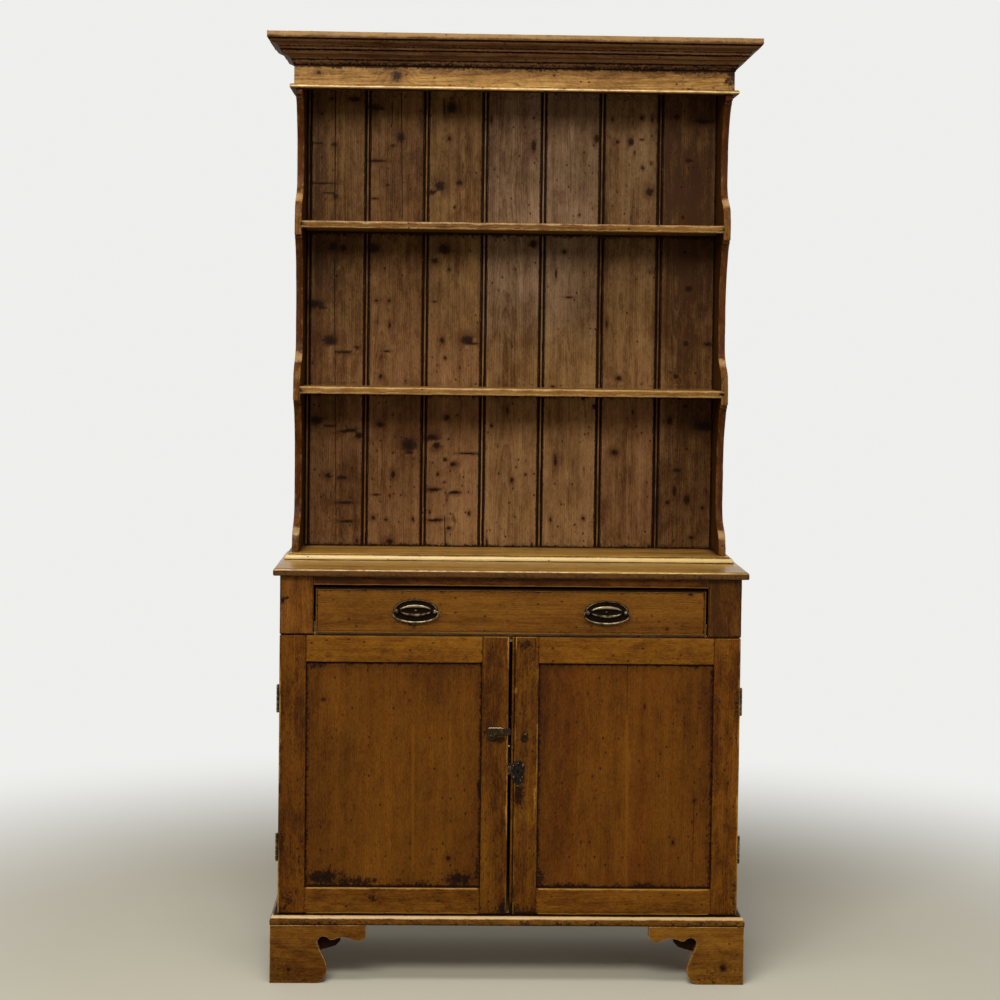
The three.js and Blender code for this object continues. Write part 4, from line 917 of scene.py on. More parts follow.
def rack_side(word, side):
    """A shaped side: a rectangle across, whose front edge moves in and out with the height."""
    node = f"rack_side_{word}"
    (x0, x1), _, (z0, z1) = span(node)
    floor = span("rack_base_board")[2][1]
    _, (_, behind), (frieze_low, _) = span("frieze_board")
    tip = 178.0
    shelves = [span(f"rack_shelf_{shelf}")[2] for shelf in ("lower", "upper")]
    blocks = [(sum(z) / 2 - 23.5, sum(z) / 2 + 23.5) for z in shelves]
    depth, height = sweeping_edge(floor, blocks, frieze_low, z0, tip)
    behind = BACK - behind - GAP
    # The stations start and end with the rounding of the board's ends.
    depth = np.array([tip] + depth + [tip, tip] + [behind] * 4)
    height = np.array([z0] + height + [frieze_low - 1.5, frieze_low - 0.5, frieze_low - 0.2,
                                       frieze_low + 2, z1 - 1.0, z1])
    inset = np.zeros(len(height))
    inset[[0, -1]] = 0.8
    arris = sizes().worn_arris * 1000
    section = Section([(0, x0), (tip, x0), (tip, x1), (0, x1)],
                      [1.0, arris, arris, 1.0], fine=10.0, arc=4)

    def place(s, u, v, k):
        shift = (tip - depth[k]) * np.clip(u / (tip - 9.0), 0, 1)
        return v, BACK - (u - shift), s

    part = planed(section, height, inset, place, node)
    inner = x0 if side > 0 else x1

    # The inner face is darker by the shelves, the floor and the back: painted shade in the corners
    # over some soil
    def soil(x, y, z):
        off = np.minimum.reduce([np.abs(z - level) for level in (*shelves[0], *shelves[1], floor)])
        return (0.6 * fade(off, 5.0) + 0.6 * fade(BACK - 12 - y, 14.0)) * (np.abs(x - inner) < 4)

    x, _, z = part["points"].T
    front_edge = (x > x0 + 0.4) & (x < x1 - 0.4)
    part["wear"] *= 0.5
    on_block = np.zeros(len(z))
    # Painted highlight on the front edge's sweep above each block, where it faces up to the light
    for (low, high), lift in zip([(floor, floor + 20)] + blocks, (26.0, 48.0, 38.0)):
        part["wear"] = np.maximum(part["wear"], 1.1 * hump(z - high - lift, 14.0) * front_edge)
        on_block = np.maximum(on_block, ease(z, low - 3, low) * ease(z, high + 60, high))

    # Painted light and shade: the blocks lighter, the front edge darker towards the top, the inner
    # face darker
    def shade(x, y, z):
        painted_edge_shade = (0.11 + 0.12 * ease(z, 1650, 1850)) * (1 - on_block)
        return (np.where(front_edge, 0.16 * on_block - painted_edge_shade, 0.0)
                - 0.26 * (np.abs(x - inner) < 0.5), 0.06 * front_edge * (1 - on_block))

    timber(part, node, "z", "x", soil=soil, shade=shade)
    make(node, [part], "rack_pine")


class DRESSER_OT_rack_sides(bpy.types.Operator):
    """Makes the two shaped sides of the rack"""
    bl_idname = "dresser.rack_sides"
    bl_label = "Rack sides"

    def execute(self, context):
        rack_side("left", -1)
        rack_side("right", 1)
        return {"FINISHED"}


def nosed(node, edge, rings, soil, worn, shade=None):
    """A board worked to an edge profile at the front and the sides: its outline is carried up
    through the heights of the profile and drawn in by the profile's inset there."""
    (x0, x1), (y0, y1), _ = span(node)
    section = Section([(x0, y1), (x0, y0), (x1, y0), (x1, y1)], [0.6, 2.2, 2.2, 0.6],
                      groups=[0, 0, 0, 1], fine=9.0)
    under, top, rings = edge[0, 1], edge[-1, 1], np.array(rings)
    inset = np.concatenate([edge[0, 0] + rings[::-1], edge[:, 0], edge[-1, 0] + rings])
    height = np.concatenate([[under] * len(rings), edge[:, 1], [top] * len(rings)])
    back_inset = np.concatenate([rings[::-1], np.zeros(len(edge)), rings])
    part = sweep(section, height, np.stack([inset, back_inset], 1), upright)
    p = part["points"]
    lift = drift(p * (0.5, 0.5, 0), seed_of(node), 160.0)
    p[:, 2] += 0.25 * lift * ease(p[:, 2], under + 1, top)
    p[:, 1] += np.where(p[:, 1] < y0 + 20, 0.3 * ripple(p[:, 0], seed_of(node, 2), 130.0), 0)
    part["wear"] = worn(p)
    timber(part, node, "x", "z", soil=soil, shade=shade)
    make(node, [part], "top_pine")


class DRESSER_OT_shelves(bpy.types.Operator):
    """Makes the shelves, the rack's floor board and the boards that close its top"""
    bl_idname = "dresser.shelves"
    bl_label = "Shelves and rack floor"

    def execute(self, context):
        worn = sizes().worn_arris * 1000
        for word, rubbed, dark in (("lower", 0.9, 0.5), ("upper", 0.8, 0.75)):
            (x0, x1), (y0, y1), (z0, _) = span(f"rack_shelf_{word}")
            # Darker at the ends, at the back and under the front edge: painted shade over some soil.
            # The rubbed front edge carries painted highlights over wear
            plain(f"rack_shelf_{word}", "x", "z", "rack_pine", rubbed=rubbed,
                  radii=[worn, 1.0, 1.0, worn], fine=14.0, pitch=7.0,
                  soil=lambda x, y, z: ((fade(np.minimum(x - x0 - 8, x1 - 8 - x), 7)
                                         + fade(y1 - y, 12)) * 0.7
                                        + dark * fade(z - z0, 2.5) * (y < y0 + 3)))
        plain("rack_top_board", "x", "z", "inside_pine", pitch=30.0, fine=40.0)
        _, (y0, _), (low, high) = span("rack_base_board")
        lip, nose = high - 2.5, 9.0
        edge = joined([(0.6, low), (0, low + 0.6), (0, lip - nose)],
                      quad((0, lip - nose), (0, lip), (nose, lip), 8),
                      [(nose + 0.2, lip + 0.1), (nose + 0.3, high - 0.7)],
                      quad((nose + 0.3, high - 0.7), (nose + 0.4, high), (nose + 1.2, high), 3))

        # Darker at the back, at the ends, along the lip and under the thumb: painted shade over some
        # soil
        def soil(x, y, z):
            ends = fade(RACK_INNER - np.abs(x), 9.0) * (y > TIPS)
            return (0.8 * fade(BACK - 12 - y, 16.0) + 0.6 * ends
                    + (0.8 * hump(z - lip, 0.8) + 0.9 * fade(z - low, 2.2)) * (y < y0 + 14))

        # The worn band on the thumb and the lighter strip behind its top are painted highlights over
        # wear
        nosed("rack_base_board", edge, [6.0, 18.0, 40.0, 70.0], soil,
              lambda p: (1.5 * hump(p[:, 2] - lip + 5.5, 5.0) * (p[:, 2] < lip + 0.3)
                         + 0.30 * hump(p[:, 1] - y0 - 20, 8.0) * (p[:, 2] > lip)))
        return {"FINISHED"}


# Knots of the boards behind the shelves: x, z, half length, half width
KNOTS = {
    1: [(-362, 1929, 6, 14), (-413, 1930, 4, 4), (-407, 1825, 5, 8), (-432, 1828, 2.5, 22),
        (-431, 1737, 2.5, 26), (-403, 1708, 6, 7), (-418, 1715, 2.5, 14), (-407, 1594, 9, 9),
        (-384, 1589, 8, 7), (-449, 1461, 10, 24), (-429, 1454, 3, 20), (-435, 1895, 3, 2.5),
        (-399, 1526, 3, 3), (-413, 1379, 12, 16), (-382, 1353, 4, 22), (-352, 1362, 5, 6),
        (-442, 1194, 9, 16), (-411, 1182, 4, 14), (-368, 1171, 5, 22), (-345, 1161, 7, 10),
        (-413, 1068, 6, 8), (-383, 1064, 5, 11), (-374, 1006, 3, 22), (-371, 963, 3, 18),
        (-347, 918, 5, 3)],
    2: [(-314, 1912, 7, 16), (-298, 1909, 5, 6), (-255, 1844, 11, 9), (-272, 1826, 5, 6),
        (-310, 1790, 3.2, 20), (-284, 1735, 3, 4), (-314, 1704, 2.2, 8), (-316, 1590, 12, 14),
        (-290, 1545, 3, 3), (-307, 1471, 3, 4), (-278, 1471, 4, 3), (-276, 1415, 7, 3),
        (-283, 1355, 2, 7), (-296, 1297, 6, 4), (-266, 1208, 3, 3), (-296, 1187, 6, 8),
        (-294, 1150, 3, 3), (-265, 1122, 3, 4), (-230, 1140, 17, 18), (-227, 1123, 4, 11),
        (-265, 1072, 9, 5), (-305, 1025, 2, 8), (-273, 1023, 4, 2.5), (-310, 972, 5, 4.5),
        (-281, 968, 3, 3), (-219, 970, 4.5, 3), (-272, 918, 6, 7)],
    3: [(-139, 1914, 13, 12), (-144, 1843, 5, 4.5),
        (-165, 1734, 12, 12), (-182, 1721, 6, 12), (-120, 1743, 6, 7), (-131, 1687, 4, 3),
        (-153, 1590, 13, 14), (-174, 1564, 7, 9), (-142, 1545, 4, 4), (-174, 1470, 2, 4),
        (-156, 1381, 7, 6), (-97, 1383, 10, 15), (-87, 1375, 5, 14), (-148, 1342, 4, 3),
        (-114, 1319, 3, 2), (-142, 1204, 6, 6), (-120, 1210, 2.5, 3), (-179, 1157, 8, 18),
        (-166, 1140, 7, 9), (-139, 1155, 4, 4), (-94, 1122, 2.5, 20), (-146, 1107, 5, 4),
        (-129, 1097, 5, 9), (-162, 1073, 4, 3), (-170, 1038, 4, 16), (-123, 1032, 4, 15),
        (-147, 1053, 4, 3), (-180, 985, 6, 2.5), (-90, 984, 5, 3), (-170, 968, 4, 18),
        (-136, 950, 5, 5)],
    4: [(-49, 1888, 8, 2.6), (48, 1892, 3, 2.5), (49, 1829, 15, 6), (51, 1605, 9, 9),
        (-4, 1221, 8, 2.5), (-40, 1187, 4, 3), (8, 1062, 6, 4), (-48, 918, 10, 2),
        (40, 1075, 2.5, 2.5), (56, 914, 5, 2.2)],
    5: [(193, 1848, 9, 6), (78, 1852, 12, 3), (156, 1673, 3, 2.5), (122, 1588, 4, 4),
        (104, 1537, 9, 2.4), (134, 1484, 2, 8), (100, 1278, 3, 4), (196, 1233, 6, 5),
        (108, 1107, 14, 4), (98, 972, 6, 2.5), (173, 975, 4, 3)],
    6: [(229, 1892, 5, 3), (296, 1896, 5, 4), (320, 1893, 6, 2.6), (272, 1841, 8, 7),
        (241, 1841, 4, 5), (296, 1846, 3, 5), (280, 1817, 5, 3), (300, 1783, 4, 3.5),
        (318, 1793, 3, 3), (317, 1728, 8, 9), (222, 1424, 9, 3), (252, 1299, 5, 6),
        (285, 1221, 6, 2.4), (244, 1128, 7, 8), (327, 911, 4, 3)],
    7: [(377, 1899, 7, 7), (438, 1890, 6, 24), (406, 1801, 5, 8), (390, 1740, 3, 3),
        (394, 1670, 4, 4), (400, 1590, 4, 4), (409, 1507, 7, 9), (405, 1381, 6, 7),
        (383, 1305, 5, 6), (456, 1380, 5, 11), (371, 1202, 8, 6), (449, 1190, 11, 26),
        (411, 1138, 3, 3), (390, 1088, 5, 9), (384, 1040, 12, 5), (369, 1014, 5, 5),
        (413, 1020, 12, 8), (449, 1002, 5, 4), (424, 933, 4, 6), (407, 1236, 5, 5)],
}
SPLITS = {  # height, x, half width
    1: [[(915, -395, 0.5), (1562, -404, 0.9)], [(1640, -404, 0.8), (1950, -405, 1.3)]],
    2: [[(1655, -249.5, 0.5), (1950, -255, 1.0)], [(1868, -275.6, 0.8), (1922, -275.4, 1.2)]],
    3: [[(1668, -118, 0.5), (1720, -118.5, 0.8)], [(906, -143, 1.3), (978, -146, 0.9)],
        [(1896, -156, 1.2), (1934, -158, 1.6)], [(1904, -119, 0.8), (1932, -123, 1.1)]],
}
# How grey each board has gone in the upper two thirds
GREYED = (0.40, 0.35, 0.45, 0.95, 0.92, 0.72, 0.35)
# Where the heart of each board's tree lies: across from the middle, and behind the face
HEARTS = {1: (10, 22), 2: (-30, 18), 3: (20, 16), 4: (-12, 44), 5: (0, 13), 6: (8, 12), 7: (-18, 20)}


def back_board(index):
    """A board with a groove and a bead at its left edge and a tongue at its right edge. The bead
    is half an ellipse between two lines."""
    count, front = len(GREYED), 12.0
    width = 2 * RACK_INNER / count
    z0, z1 = span("back_board_1")[2]
    shelves = [span(f"rack_shelf_{word}")[2] for word in ("lower", "upper")]
    left = -RACK_INNER + index * width + GAP / 2
    right = -RACK_INNER + (index + 1) * width - GAP / 2
    groove = [(left, 3.7), (left + 6.3, 3.7), (left + 6.3, 8.3), (left, 8.3)] if index else []
    tongue = [(right, 8), (right + 6, 8), (right + 6, 4), (right, 4)] if index < count - 1 else []
    angle = np.linspace(math.pi, 0, 9)
    bead = np.stack([left + 2 + 3.25 + 3.25 * np.cos(angle),
                     front - 3.4 + 3.4 * np.sin(angle)], 1)
    outline = joined([(left, 0)] + groove + [(left, front - 3.4)], bead,
                     [(left + 9.5, front - 3.4), (left + 10.5, front), (right, front)] + tongue
                     + [(right, 0)])
    radii = np.zeros(len(outline))
    radii[(outline[:, 0] == right) & (outline[:, 1] == front)] = 0.9
    radii[(np.abs(outline[:, 0] - left - 10.5) < 1e-6)] = 0.8
    section = Section(outline, radii, fine=5.0, arc=2)
    part = sweep(section, *run(z0, z1, 5.5, (0.0, 0.0)), lambda s, u, v, k: (u, BACK - v, s),
                 seed_of("back", index), 0.3, 0.25)

    def soil(x, y, z):
        # Painted shadow under each shelf and under the frieze, painted shade in the corners above the
        # shelves and at the foot, and dark lines at the quirk and the joints
        shelf_shade = [line for low, high in shelves for line in (
            0.95 * fade(low - z, 8.0) * (z < low), 0.6 * fade(z - high, 7.0) * (z > high))]
        lines = strongest(*shelf_shade, 0.85 * fade(z - z0, 6.0), 0.28 * fade(1934 - z, 5.0),
                          fade(x - left - 12.4, 0.9) * (x > left + 6.6), fade(x - left - 3.1, 0.5),
                          fade(right - 2.6 - x, 0.9))
        return np.where(y > BACK - 4, 0.22 + 0.4 * fade(np.abs(x - left), 3.0), lines)

    across, depth, _ = part["points"].T
    part["wear"] *= 0.5 * (across < RACK_INNER - 4)
    # The bead's pale line is a painted highlight
    part["wear"] = np.maximum(part["wear"],
                              0.62 * hump(across - left - 5.0, 1.5) * (depth < BACK - 10))
    number = index + 1
    # Lighter towards the lower bays: painted light. The greying of the upper part is the boards' own
    # colour
    timber(part, f"back_board_{number}", "z", "y",
           [(z, x, a * 1.05, b * 1.05) for x, z, a, b in KNOTS[number]], SPLITS.get(number, ()),
           soil, HEARTS[number], spread=2.2, shade=lambda x, y, z: (
               0.16 * ease(z, 1700, 1000) - 0.06 + 0.15 * (y > BACK - 4)
               + 0.10 * clouds(x, y, z * 0.5, seed_of("patch"), 260.0),
               -0.28 * GREYED[index] * ease(z, 1150, 1600)))
    make(f"back_board_{number}", [part], "back_pine")


class DRESSER_OT_back_boards(bpy.types.Operator):
    """Makes the beaded boards behind the shelves, with their knots and splits"""
    bl_idname = "dresser.back_boards"
    bl_label = "Back boards"

    def execute(self, context):
        for index in range(len(GREYED)):
            back_board(index)
        return {"FINISHED"}


class DRESSER_OT_worktop(bpy.types.Operator):
    """Makes the base's top with its rounded nose"""
    bl_idname = "dresser.worktop"
    bl_label = "Base top"

    def execute(self, context):
        _, (y0, _), (low, high) = span("base_top")
        edge = joined([(3.5, low)], quad((3.5, low), (0, low), (0, low + 3.5), 4),
                      [(0, high - 7)], quad((0, high - 7), (0, high), (7, high), 7))
        (_, half), (rack_front, _), _ = span("rack_base_board")

        # The nose's front face is painted darker: painted shade
        def edge_of(y, z):
            return (1 - ease(z, high - 5.5, high - 3.5)) * (y < y0 + 12)

        # Dark along the rack's foot, a joint; painted shade on the nose's face; and a dark line along
        # the top just behind the nose
        def soil(x, y, z):
            line = np.where(np.abs(x) < half, np.abs(y - rack_front),
                            np.hypot(np.abs(x) - half, np.minimum(y - rack_front, 0)))
            on_top = z > high - 1
            return strongest(0.9 * fade(line, 1.6) * on_top, 0.35 * edge_of(y, z),
                             0.45 * hump(y - y0 - 8.5, 2.2) * on_top)

        # The nose's thin bright line and the bright strip in front of the rack are painted highlights,
        # and the top is painted darker towards the front as shade
        nosed("base_top", edge, [1.5, 4.0, 8.0, 12.0, 16.0, 20.0, 26.0, 60.0], soil,
              lambda p: (1.1 * hump(p[:, 2] - high + 2.9, 1.1) * (p[:, 1] < y0 + 6)
                         + 0.95 * hump(p[:, 1] - rack_front + 25, 9.0) * (p[:, 2] > high - 1)),
              lambda x, y, z: (-0.98 * edge_of(y, z)
                               - 0.09 * ease(y, rack_front - 30, y0 + 20) * (z > high - 1)))
        return {"FINISHED"}


class DRESSER_OT_carcase(bpy.types.Operator):
    """Makes the base's sides, posts, rail, shelves, divider frame and back"""
    bl_idname = "dresser.carcase"
    bl_label = "Carcase"

    def execute(self, context):
        for word in ("left", "right"):
            plain(f"base_side_{word}", "z", "x", "base_pine", fine=20.0, pitch=14.0,
                  soil=lambda x, y, z: 0.7 * fade(z - 146, 14.0) + 0.4 * fade(876 - z, 8.0))
            (x0, x1), _, (z0, z1) = span(f"drawer_post_{word}")
            plain(f"drawer_post_{word}", "z", "y", "base_pine", fine=4.0, pitch=4.0, rubbed=0.6,
                  soil=lambda x, y, z: np.maximum(
                      fade(edge_distance(x, z, x0, x1, z0, z1), 2.4),
                      blots(x, z, [(-490, 823, 5, 8, 1.0), (-481, 829, 7, 3, 0.9)])))
        z0, z1 = span("top_rail")[2]
        # Dark along its top and bottom edges: painted shade under the worktop's nose and over the
        # drawer's gap
        plain("top_rail", "x", "y", "base_pine", fine=5.0,
              soil=lambda x, y, z: 0.9 * np.maximum(fade(z1 - z, 4.0), fade(z - z0, 2.5)))
        for node in ("base_bottom", "inner_shelf"):
            plain(node, "x", "z", "inside_pine", fine=30.0, pitch=25.0)
        plain("base_back", "z", "y", "inside_pine", fine=30.0, pitch=30.0)
        # The divider: two rails, two runners and a guide on each
        (x0, x1), (y0, y1), (_, z1) = span("divider_frame")
        drawer_in, drawer_out = span("drawer_side_right")[0]
        top = span("drawer_side_left")[2][0] - 0.4
        inner, outer = drawer_in - 60, drawer_out + 1
        bars = [board("divider_frame", along, "z", box=[xs, ys, (top - 18, top)], pitch=25.0,
                      fine=20.0, name="divider_" + name)
                for name, along, xs, ys in (
                    ("front", "x", (x0, x1), (y0, y0 + 60)),
                    ("rear", "x", (x0, x1), (y1 - 60, y1)),
                    ("left", "y", (x0, -inner), (y0 + 60.2, y1 - 60.2)),
                    ("right", "y", (inner, x1), (y0 + 60.2, y1 - 60.2)))]
        # The guides are darker towards the front: painted shade in the gap beside the drawer
        bars += [board("divider_frame", "y", "z", box=[xs, (y0 + 14, y1 - 14), (top + 0.05, z1)],
                       pitch=25.0, name=name, soil=lambda x, y, z: 0.95 * np.exp(-(y - y0) / 70.0))
                 for name, xs in (("left_guide", (-outer - 15, -outer)),
                                  ("right_guide", (outer, outer + 15)))]
        make("divider_frame", bars, "inside_pine")
        return {"FINISHED"}


def bracket(long, tall):
    """Outline of a bracket foot: (distance from its corner, height)."""
    def at(u, z):
        return (long * u, tall * z)
    centre = at(0.56, 0.7)
    angle = np.linspace(0.15 * math.pi, 1.2 * math.pi, 13)
    scallop = np.stack([centre[0] + 13.4 * np.cos(angle), centre[1] + 13.4 * np.sin(angle)], 1)
    return joined([at(0, 0), at(0, 1), at(1, 1), at(1, 0.83)],
                  quad(at(1, 0.83), at(0.985, 0.725), at(0.92, 0.725), 7),
                  cubic(at(0.92, 0.725), at(0.86, 0.725), at(0.83, 0.79), at(0.77, 0.79), 8),
                  quad(at(0.77, 0.79), at(0.71, 0.79), at(0.66, 0.745), 5),
                  scallop,
                  cubic(scallop[-1], at(0.53, 0.5), at(0.6, 0.38), at(0.595, 0.23), 10),
                  cubic(at(0.595, 0.23), at(0.595, 0.1), at(0.53, 0.01), at(0.46, 0), 9))


def foot_arm(outline, thick, place, name, mitred=False, along="x", face="y", knots=()):
    """A bracket sawn from a board: its outline is carried through the thickness with rounded
    edges, and its corner edge follows the mitre, where the inset equals the depth."""
    radius = 1.8
    section = Section(outline, 0.0, groups=[1] + [0] * (len(outline) - 1))
    w = np.concatenate([radius * np.array([0, 0.06, 0.16, 0.293, 0.6, 1.0]),
                        [thick * 0.5, thick - 1.0, thick - 0.6, thick]])
    arc = radius - np.sqrt(np.maximum(radius ** 2 - np.maximum(radius - w, 0) ** 2, 0))
    arc[-1], arc[-2] = 1.0, 0.4
    corner = np.maximum(arc, w + 0.12) if mitred else arc
    part = sweep(section, w, np.stack([arc, corner], 1), place)
    part["wear"] = np.repeat(0.72 * ((w < radius) & (w > 0.05)), len(section.place))
    return timber(part, name, along, face, knots, spread=900.0,
                  soil=lambda x, y, z: 0.5 * fade(z, 5.0))


class DRESSER_OT_plinth(bpy.types.Operator):
    """Makes the plinth moulding and the four bracket feet"""
    bl_idname = "dresser.plinth"
    bl_label = "Plinth and feet"

    def execute(self, context):
        (_, x1), (y0, y1), (low, high) = span("plinth_moulding")
        half = span("base_side_right")[0][1]
        out = x1 - half
        door_face = y0 + out
        shoulder = high - 8.5

        def profile(inner):
            return joined([(inner, low), (out, low), (out, low + 2.7)],
                          quad((out, low + 2.7), (out + 1.5, shoulder), (out - 1.5, shoulder), 4),
                          quad((out - 1.5, shoulder), (out - 1.5, high), (4, high), 8),
                          [(inner, high)])

        # The worn band along the top rounding is a painted highlight, and the darkening along the
        # bottom, the top and below the shoulder is painted shade
        moulding("plinth_moulding", "plinth_pine", profile, lambda n: np.eye(1, n, 1)[0], -20.7,
                 half, door_face, y1, 8.0,
                 lambda p: (1.1 * ease(p[:, 2], shoulder + 0.5, shoulder + 3)
                            * (1 - 0.5 * ease(p[:, 1], door_face - out + 8, door_face + 10))
                            * (1 - ease(p[:, 2], high - 0.6, high - 0.1))),
                 lambda x, y, z: (0.8 * fade(z - low, 1.5) + 0.9 * ease(z, high - 1.2, high - 0.2)
                                  + 0.32 * (z < shoulder)))
        feet("left", -1, [(-470, 30, 4, 4)])
        feet("right", 1, [(465, 36, 7, 8)])
        return {"FINISHED"}


def feet(word, side, knots):
    """The front foot of one side, of two mitred brackets, a block, and a nearly black block behind
    that stands for the shade in the scallop, a painted shadow; and the rear foot, of a bracket and
    a brace."""
    (x0, x1), (y0, y1), (z0, z1) = span(f"foot_front_{word}")
    outer = x1 if side > 0 else -x0
    tall, thick = z1 - z0, 22.0

    def across(start, way):
        """The place of a board that lies across the dresser, from its outer face inwards."""
        return lambda w, u, z, k: (side * (outer - u), start + way * w, z)

    def lengthways(start, way):
        return lambda w, u, z, k: (side * (outer - w), start + way * u, z)

    front = foot_arm(bracket(x1 - x0, tall), thick, across(y0, 1), f"foot_front_{word}",
                     mitred=True, knots=knots)
    return_arm = foot_arm(bracket(y1 - y0, tall), thick, lengthways(y0, 1),
                          f"foot_return_{word}", mitred=True, along="y", face="x")
    inner, behind = outer - thick - GAP, y0 + thick + GAP
    block = board(f"foot_front_{word}", "z", "y", pitch=30.0, name=f"block_{word}",
                  box=[sorted((side * inner, side * (inner - 46))), (behind, y0 + 68), (9.0, z1)])
    # A block behind the bracket, soiled almost black, stands for the shade seen through the scallop: a
    # painted shadow
    shadow_block = np.array([(68.6, 66.0), (102.0, 66.0), (120.0, 70.0), (140.0, 76.0), (150.0, 87.0),
                      (150.0, tall - GAP), (68.6, tall - GAP)])
    rail = foot_arm(shadow_block, 29.7, across(behind, 1), f"rail_{word}")
    rail["fields"]["marks"][:, :2] = 0.0, 0.97
    make(f"foot_front_{word}", [front, return_arm, block, rail], "plinth_pine")

    (x0, x1), (y0, y1), _ = span(f"foot_rear_{word}")
    arm = foot_arm(bracket(y1 - y0, tall), thick, lengthways(y1, -1), f"foot_rear_{word}",
                   along="y", face="x")
    brace = foot_arm(np.array([(22.2, 0), (22.2, tall), (x1 - x0, tall), (46.0, 0)]), thick,
                     across(y1, -1), f"brace_{word}")
    make(f"foot_rear_{word}", [arm, brace], "plinth_pine")


DOOR_STAINS = {  # x, z, half width, half height, strength
    "left": [(-395, 224, 48, 22, 0.8), (-330, 216, 70, 13, 0.7), (-108, 222, 42, 20, 0.75),
             (-66, 235, 8, 34, 0.7), (-64, 420, 5, 36, 0.85), (-200, 212, 60, 9, 0.5),
             (-410, 684, 30, 10, 0.6), (-434, 560, 5, 60, 0.5), (-66, 640, 5, 50, 0.5)],
    "right": [(66, 225, 22, 32, 0.55), (140, 210, 60, 8, 0.6), (300, 212, 90, 7, 0.55),
              (250, 690, 60, 9, 0.5), (434, 600, 6, 80, 0.55), (436, 330, 4, 80, 0.5),
              (110, 640, 40, 60, 0.22)],
}
STILE_WORM = {"right_door_hinge_stile": 0.26, "left_door_lock_stile": 0.12,
              "right_door_lock_stile": 0.10, "left_door_hinge_stile": 0.04}
DOOR_SPLITS = {  # height, x, half width; below zero for a pale line
    "left": [[(240, -205, -2.0), (560, -208, -3.2)], [(470, -128, -1.5), (560, -128, -1.5)]],
    "right": [[(586, 252, 0.35), (690, 251, 0.8)], [(206, 256, -2.2), (576, 252, -3.0)],
              [(206, 398, 0.3), (420, 400, 0.5)]],
}
STILE_STAINS = {
    "left_door_lock_stile": [(-8, 160, 14, 26, 1.0), (-42, 540, 16, 10, 0.8), (-26, 527, 24, 7, 1.0),
                             (-52, 330, 5, 60, 0.35)],
    "right_door_lock_stile": [(8, 158, 12, 20, 0.9), (20, 408, 15, 34, 0.72), (24, 455, 15, 44, 0.5),
                              (30, 730, 30, 16, 0.55), (44, 700, 14, 40, 0.4),
                              (32, 531, 9, 15, 0.9), (50, 380, 5, 40, 0.4)],
    "left_door_hinge_stile": [(-470, 176, 30, 34, 0.5), (-488, 300, 8, 60, 0.5),
                              (-446, 260, 6, 60, 0.4), (-490, 600, 7, 60, 0.4)],
    "right_door_hinge_stile": [(488, 200, 9, 60, 0.5), (488, 600, 8, 90, 0.5),
                               (455, 700, 18, 30, 0.35)],
}
STILE_SCUFFS = {
    "right_door_lock_stile": [(56, 400, 4, 50, 0.9), (40, 340, 9, 36, 0.55), (26, 360, 6, 30, 0.5),
                              (10, 640, 4, 60, 0.5)],
    "left_door_lock_stile": [(-10, 620, 4, 80, 0.5), (-54, 300, 4, 60, 0.45)],
    "left_door_hinge_stile": [(-492, 430, 4, 80, 0.5)],
}
RAIL_STAINS = {
    "left_door_bottom_rail": [(-290, 180, 16, 7, 0.75), (-440, 186, 8, 5, 0.7),
                              (-147, 178, 14, 6, 0.6), (-125, 164, 12, 6, 0.6)],
    "right_door_bottom_rail": [(300, 160, 30, 4, 0.4), (120, 190, 20, 4, 0.4)],
    "left_door_top_rail": [(-170, 716, 30, 5, 0.5), (-98, 702, 9, 5, 0.75), (-260, 738, 20, 3, 0.3)],
    "right_door_top_rail": [(90, 735, 30, 6, 0.45), (360, 706, 40, 4, 0.4)],
}
PANEL_HEARTS = {"left": (20, 38), "right": (-12, 24)}
PANEL_KNOTS = {"left": [(268, -130, 4, 5), (610, -400, 3, 4)],
               "right": [(305, 355, 5, 3), (600, 290, 6, 2), (395, 400, 4, 3)]}
PANEL_SCUFFS = {"left": [(-316, 452, 6, 14, 0.9), (-250, 300, 30, 60, 0.3)],
                "right": [(180, 300, 40, 60, 0.3)]}
GROOVED_RADII = [1.0, 0.5, 0.3, 0.0, 0.0, 0.3]
GROOVE, RAIL_TALL = 8.0, 56.0  # depth of the grooves for the panels, height of the door rails


def panel_shade(word, x, z):
    """Value, redness and worm of a door panel at each point."""
    if word == "left":
        value = (0.09 * hump(x + 290, 110) * hump(z - 450, 240)
                 - 0.12 * ease(np.abs(x + 249), 120, 190) - 0.09 * ease(z, 610, 690)
                 + 0.07 * clouds(x, 0, z * 0.4, 31, 190.0))
        red = 0.012 + 0.022 * clouds(x, 0, z * 0.3, 32, 150.0)
        return value, red, -0.07 + 0.14 * ease(z, 330, 230)
    value = (0.20 * hump(x - 254, 13) * ease(z, 600, 520)
             + 0.09 * hump(x - 235, 90) * hump(z - 430, 150) - 0.13 * ease(x, 150, 70)
             - 0.09 * ease(x, 380, 436) - 0.10 * hump(x - 215, 24) * ease(z, 560, 660)
             - 0.12 * ease(z, 600, 690) * ease(x, 330, 90)
             + 0.07 * clouds(x, 0, z * 0.4, 33, 190.0))
    red = (0.01 + 0.03 * hump(x - 130, 30) + 0.05 * hump(x - 285, 26) * ease(z, 560, 400)
           + 0.018 * clouds(x, 0, z * 0.3, 34, 150.0))
    return value, red, 0.33 * ease(x, 310, 420)


def grooved(out, into, front, face, behind, rear):
    """Outline of a stile or rail as (across, depth), without its outer front corner. Its inner
    edge has a groove for the panel."""
    groove = into - GROOVE * np.sign(into - out)
    return [(out, rear), (into, rear), (into, behind), (groove, behind), (groove, face),
            (into, face), (into, front)]


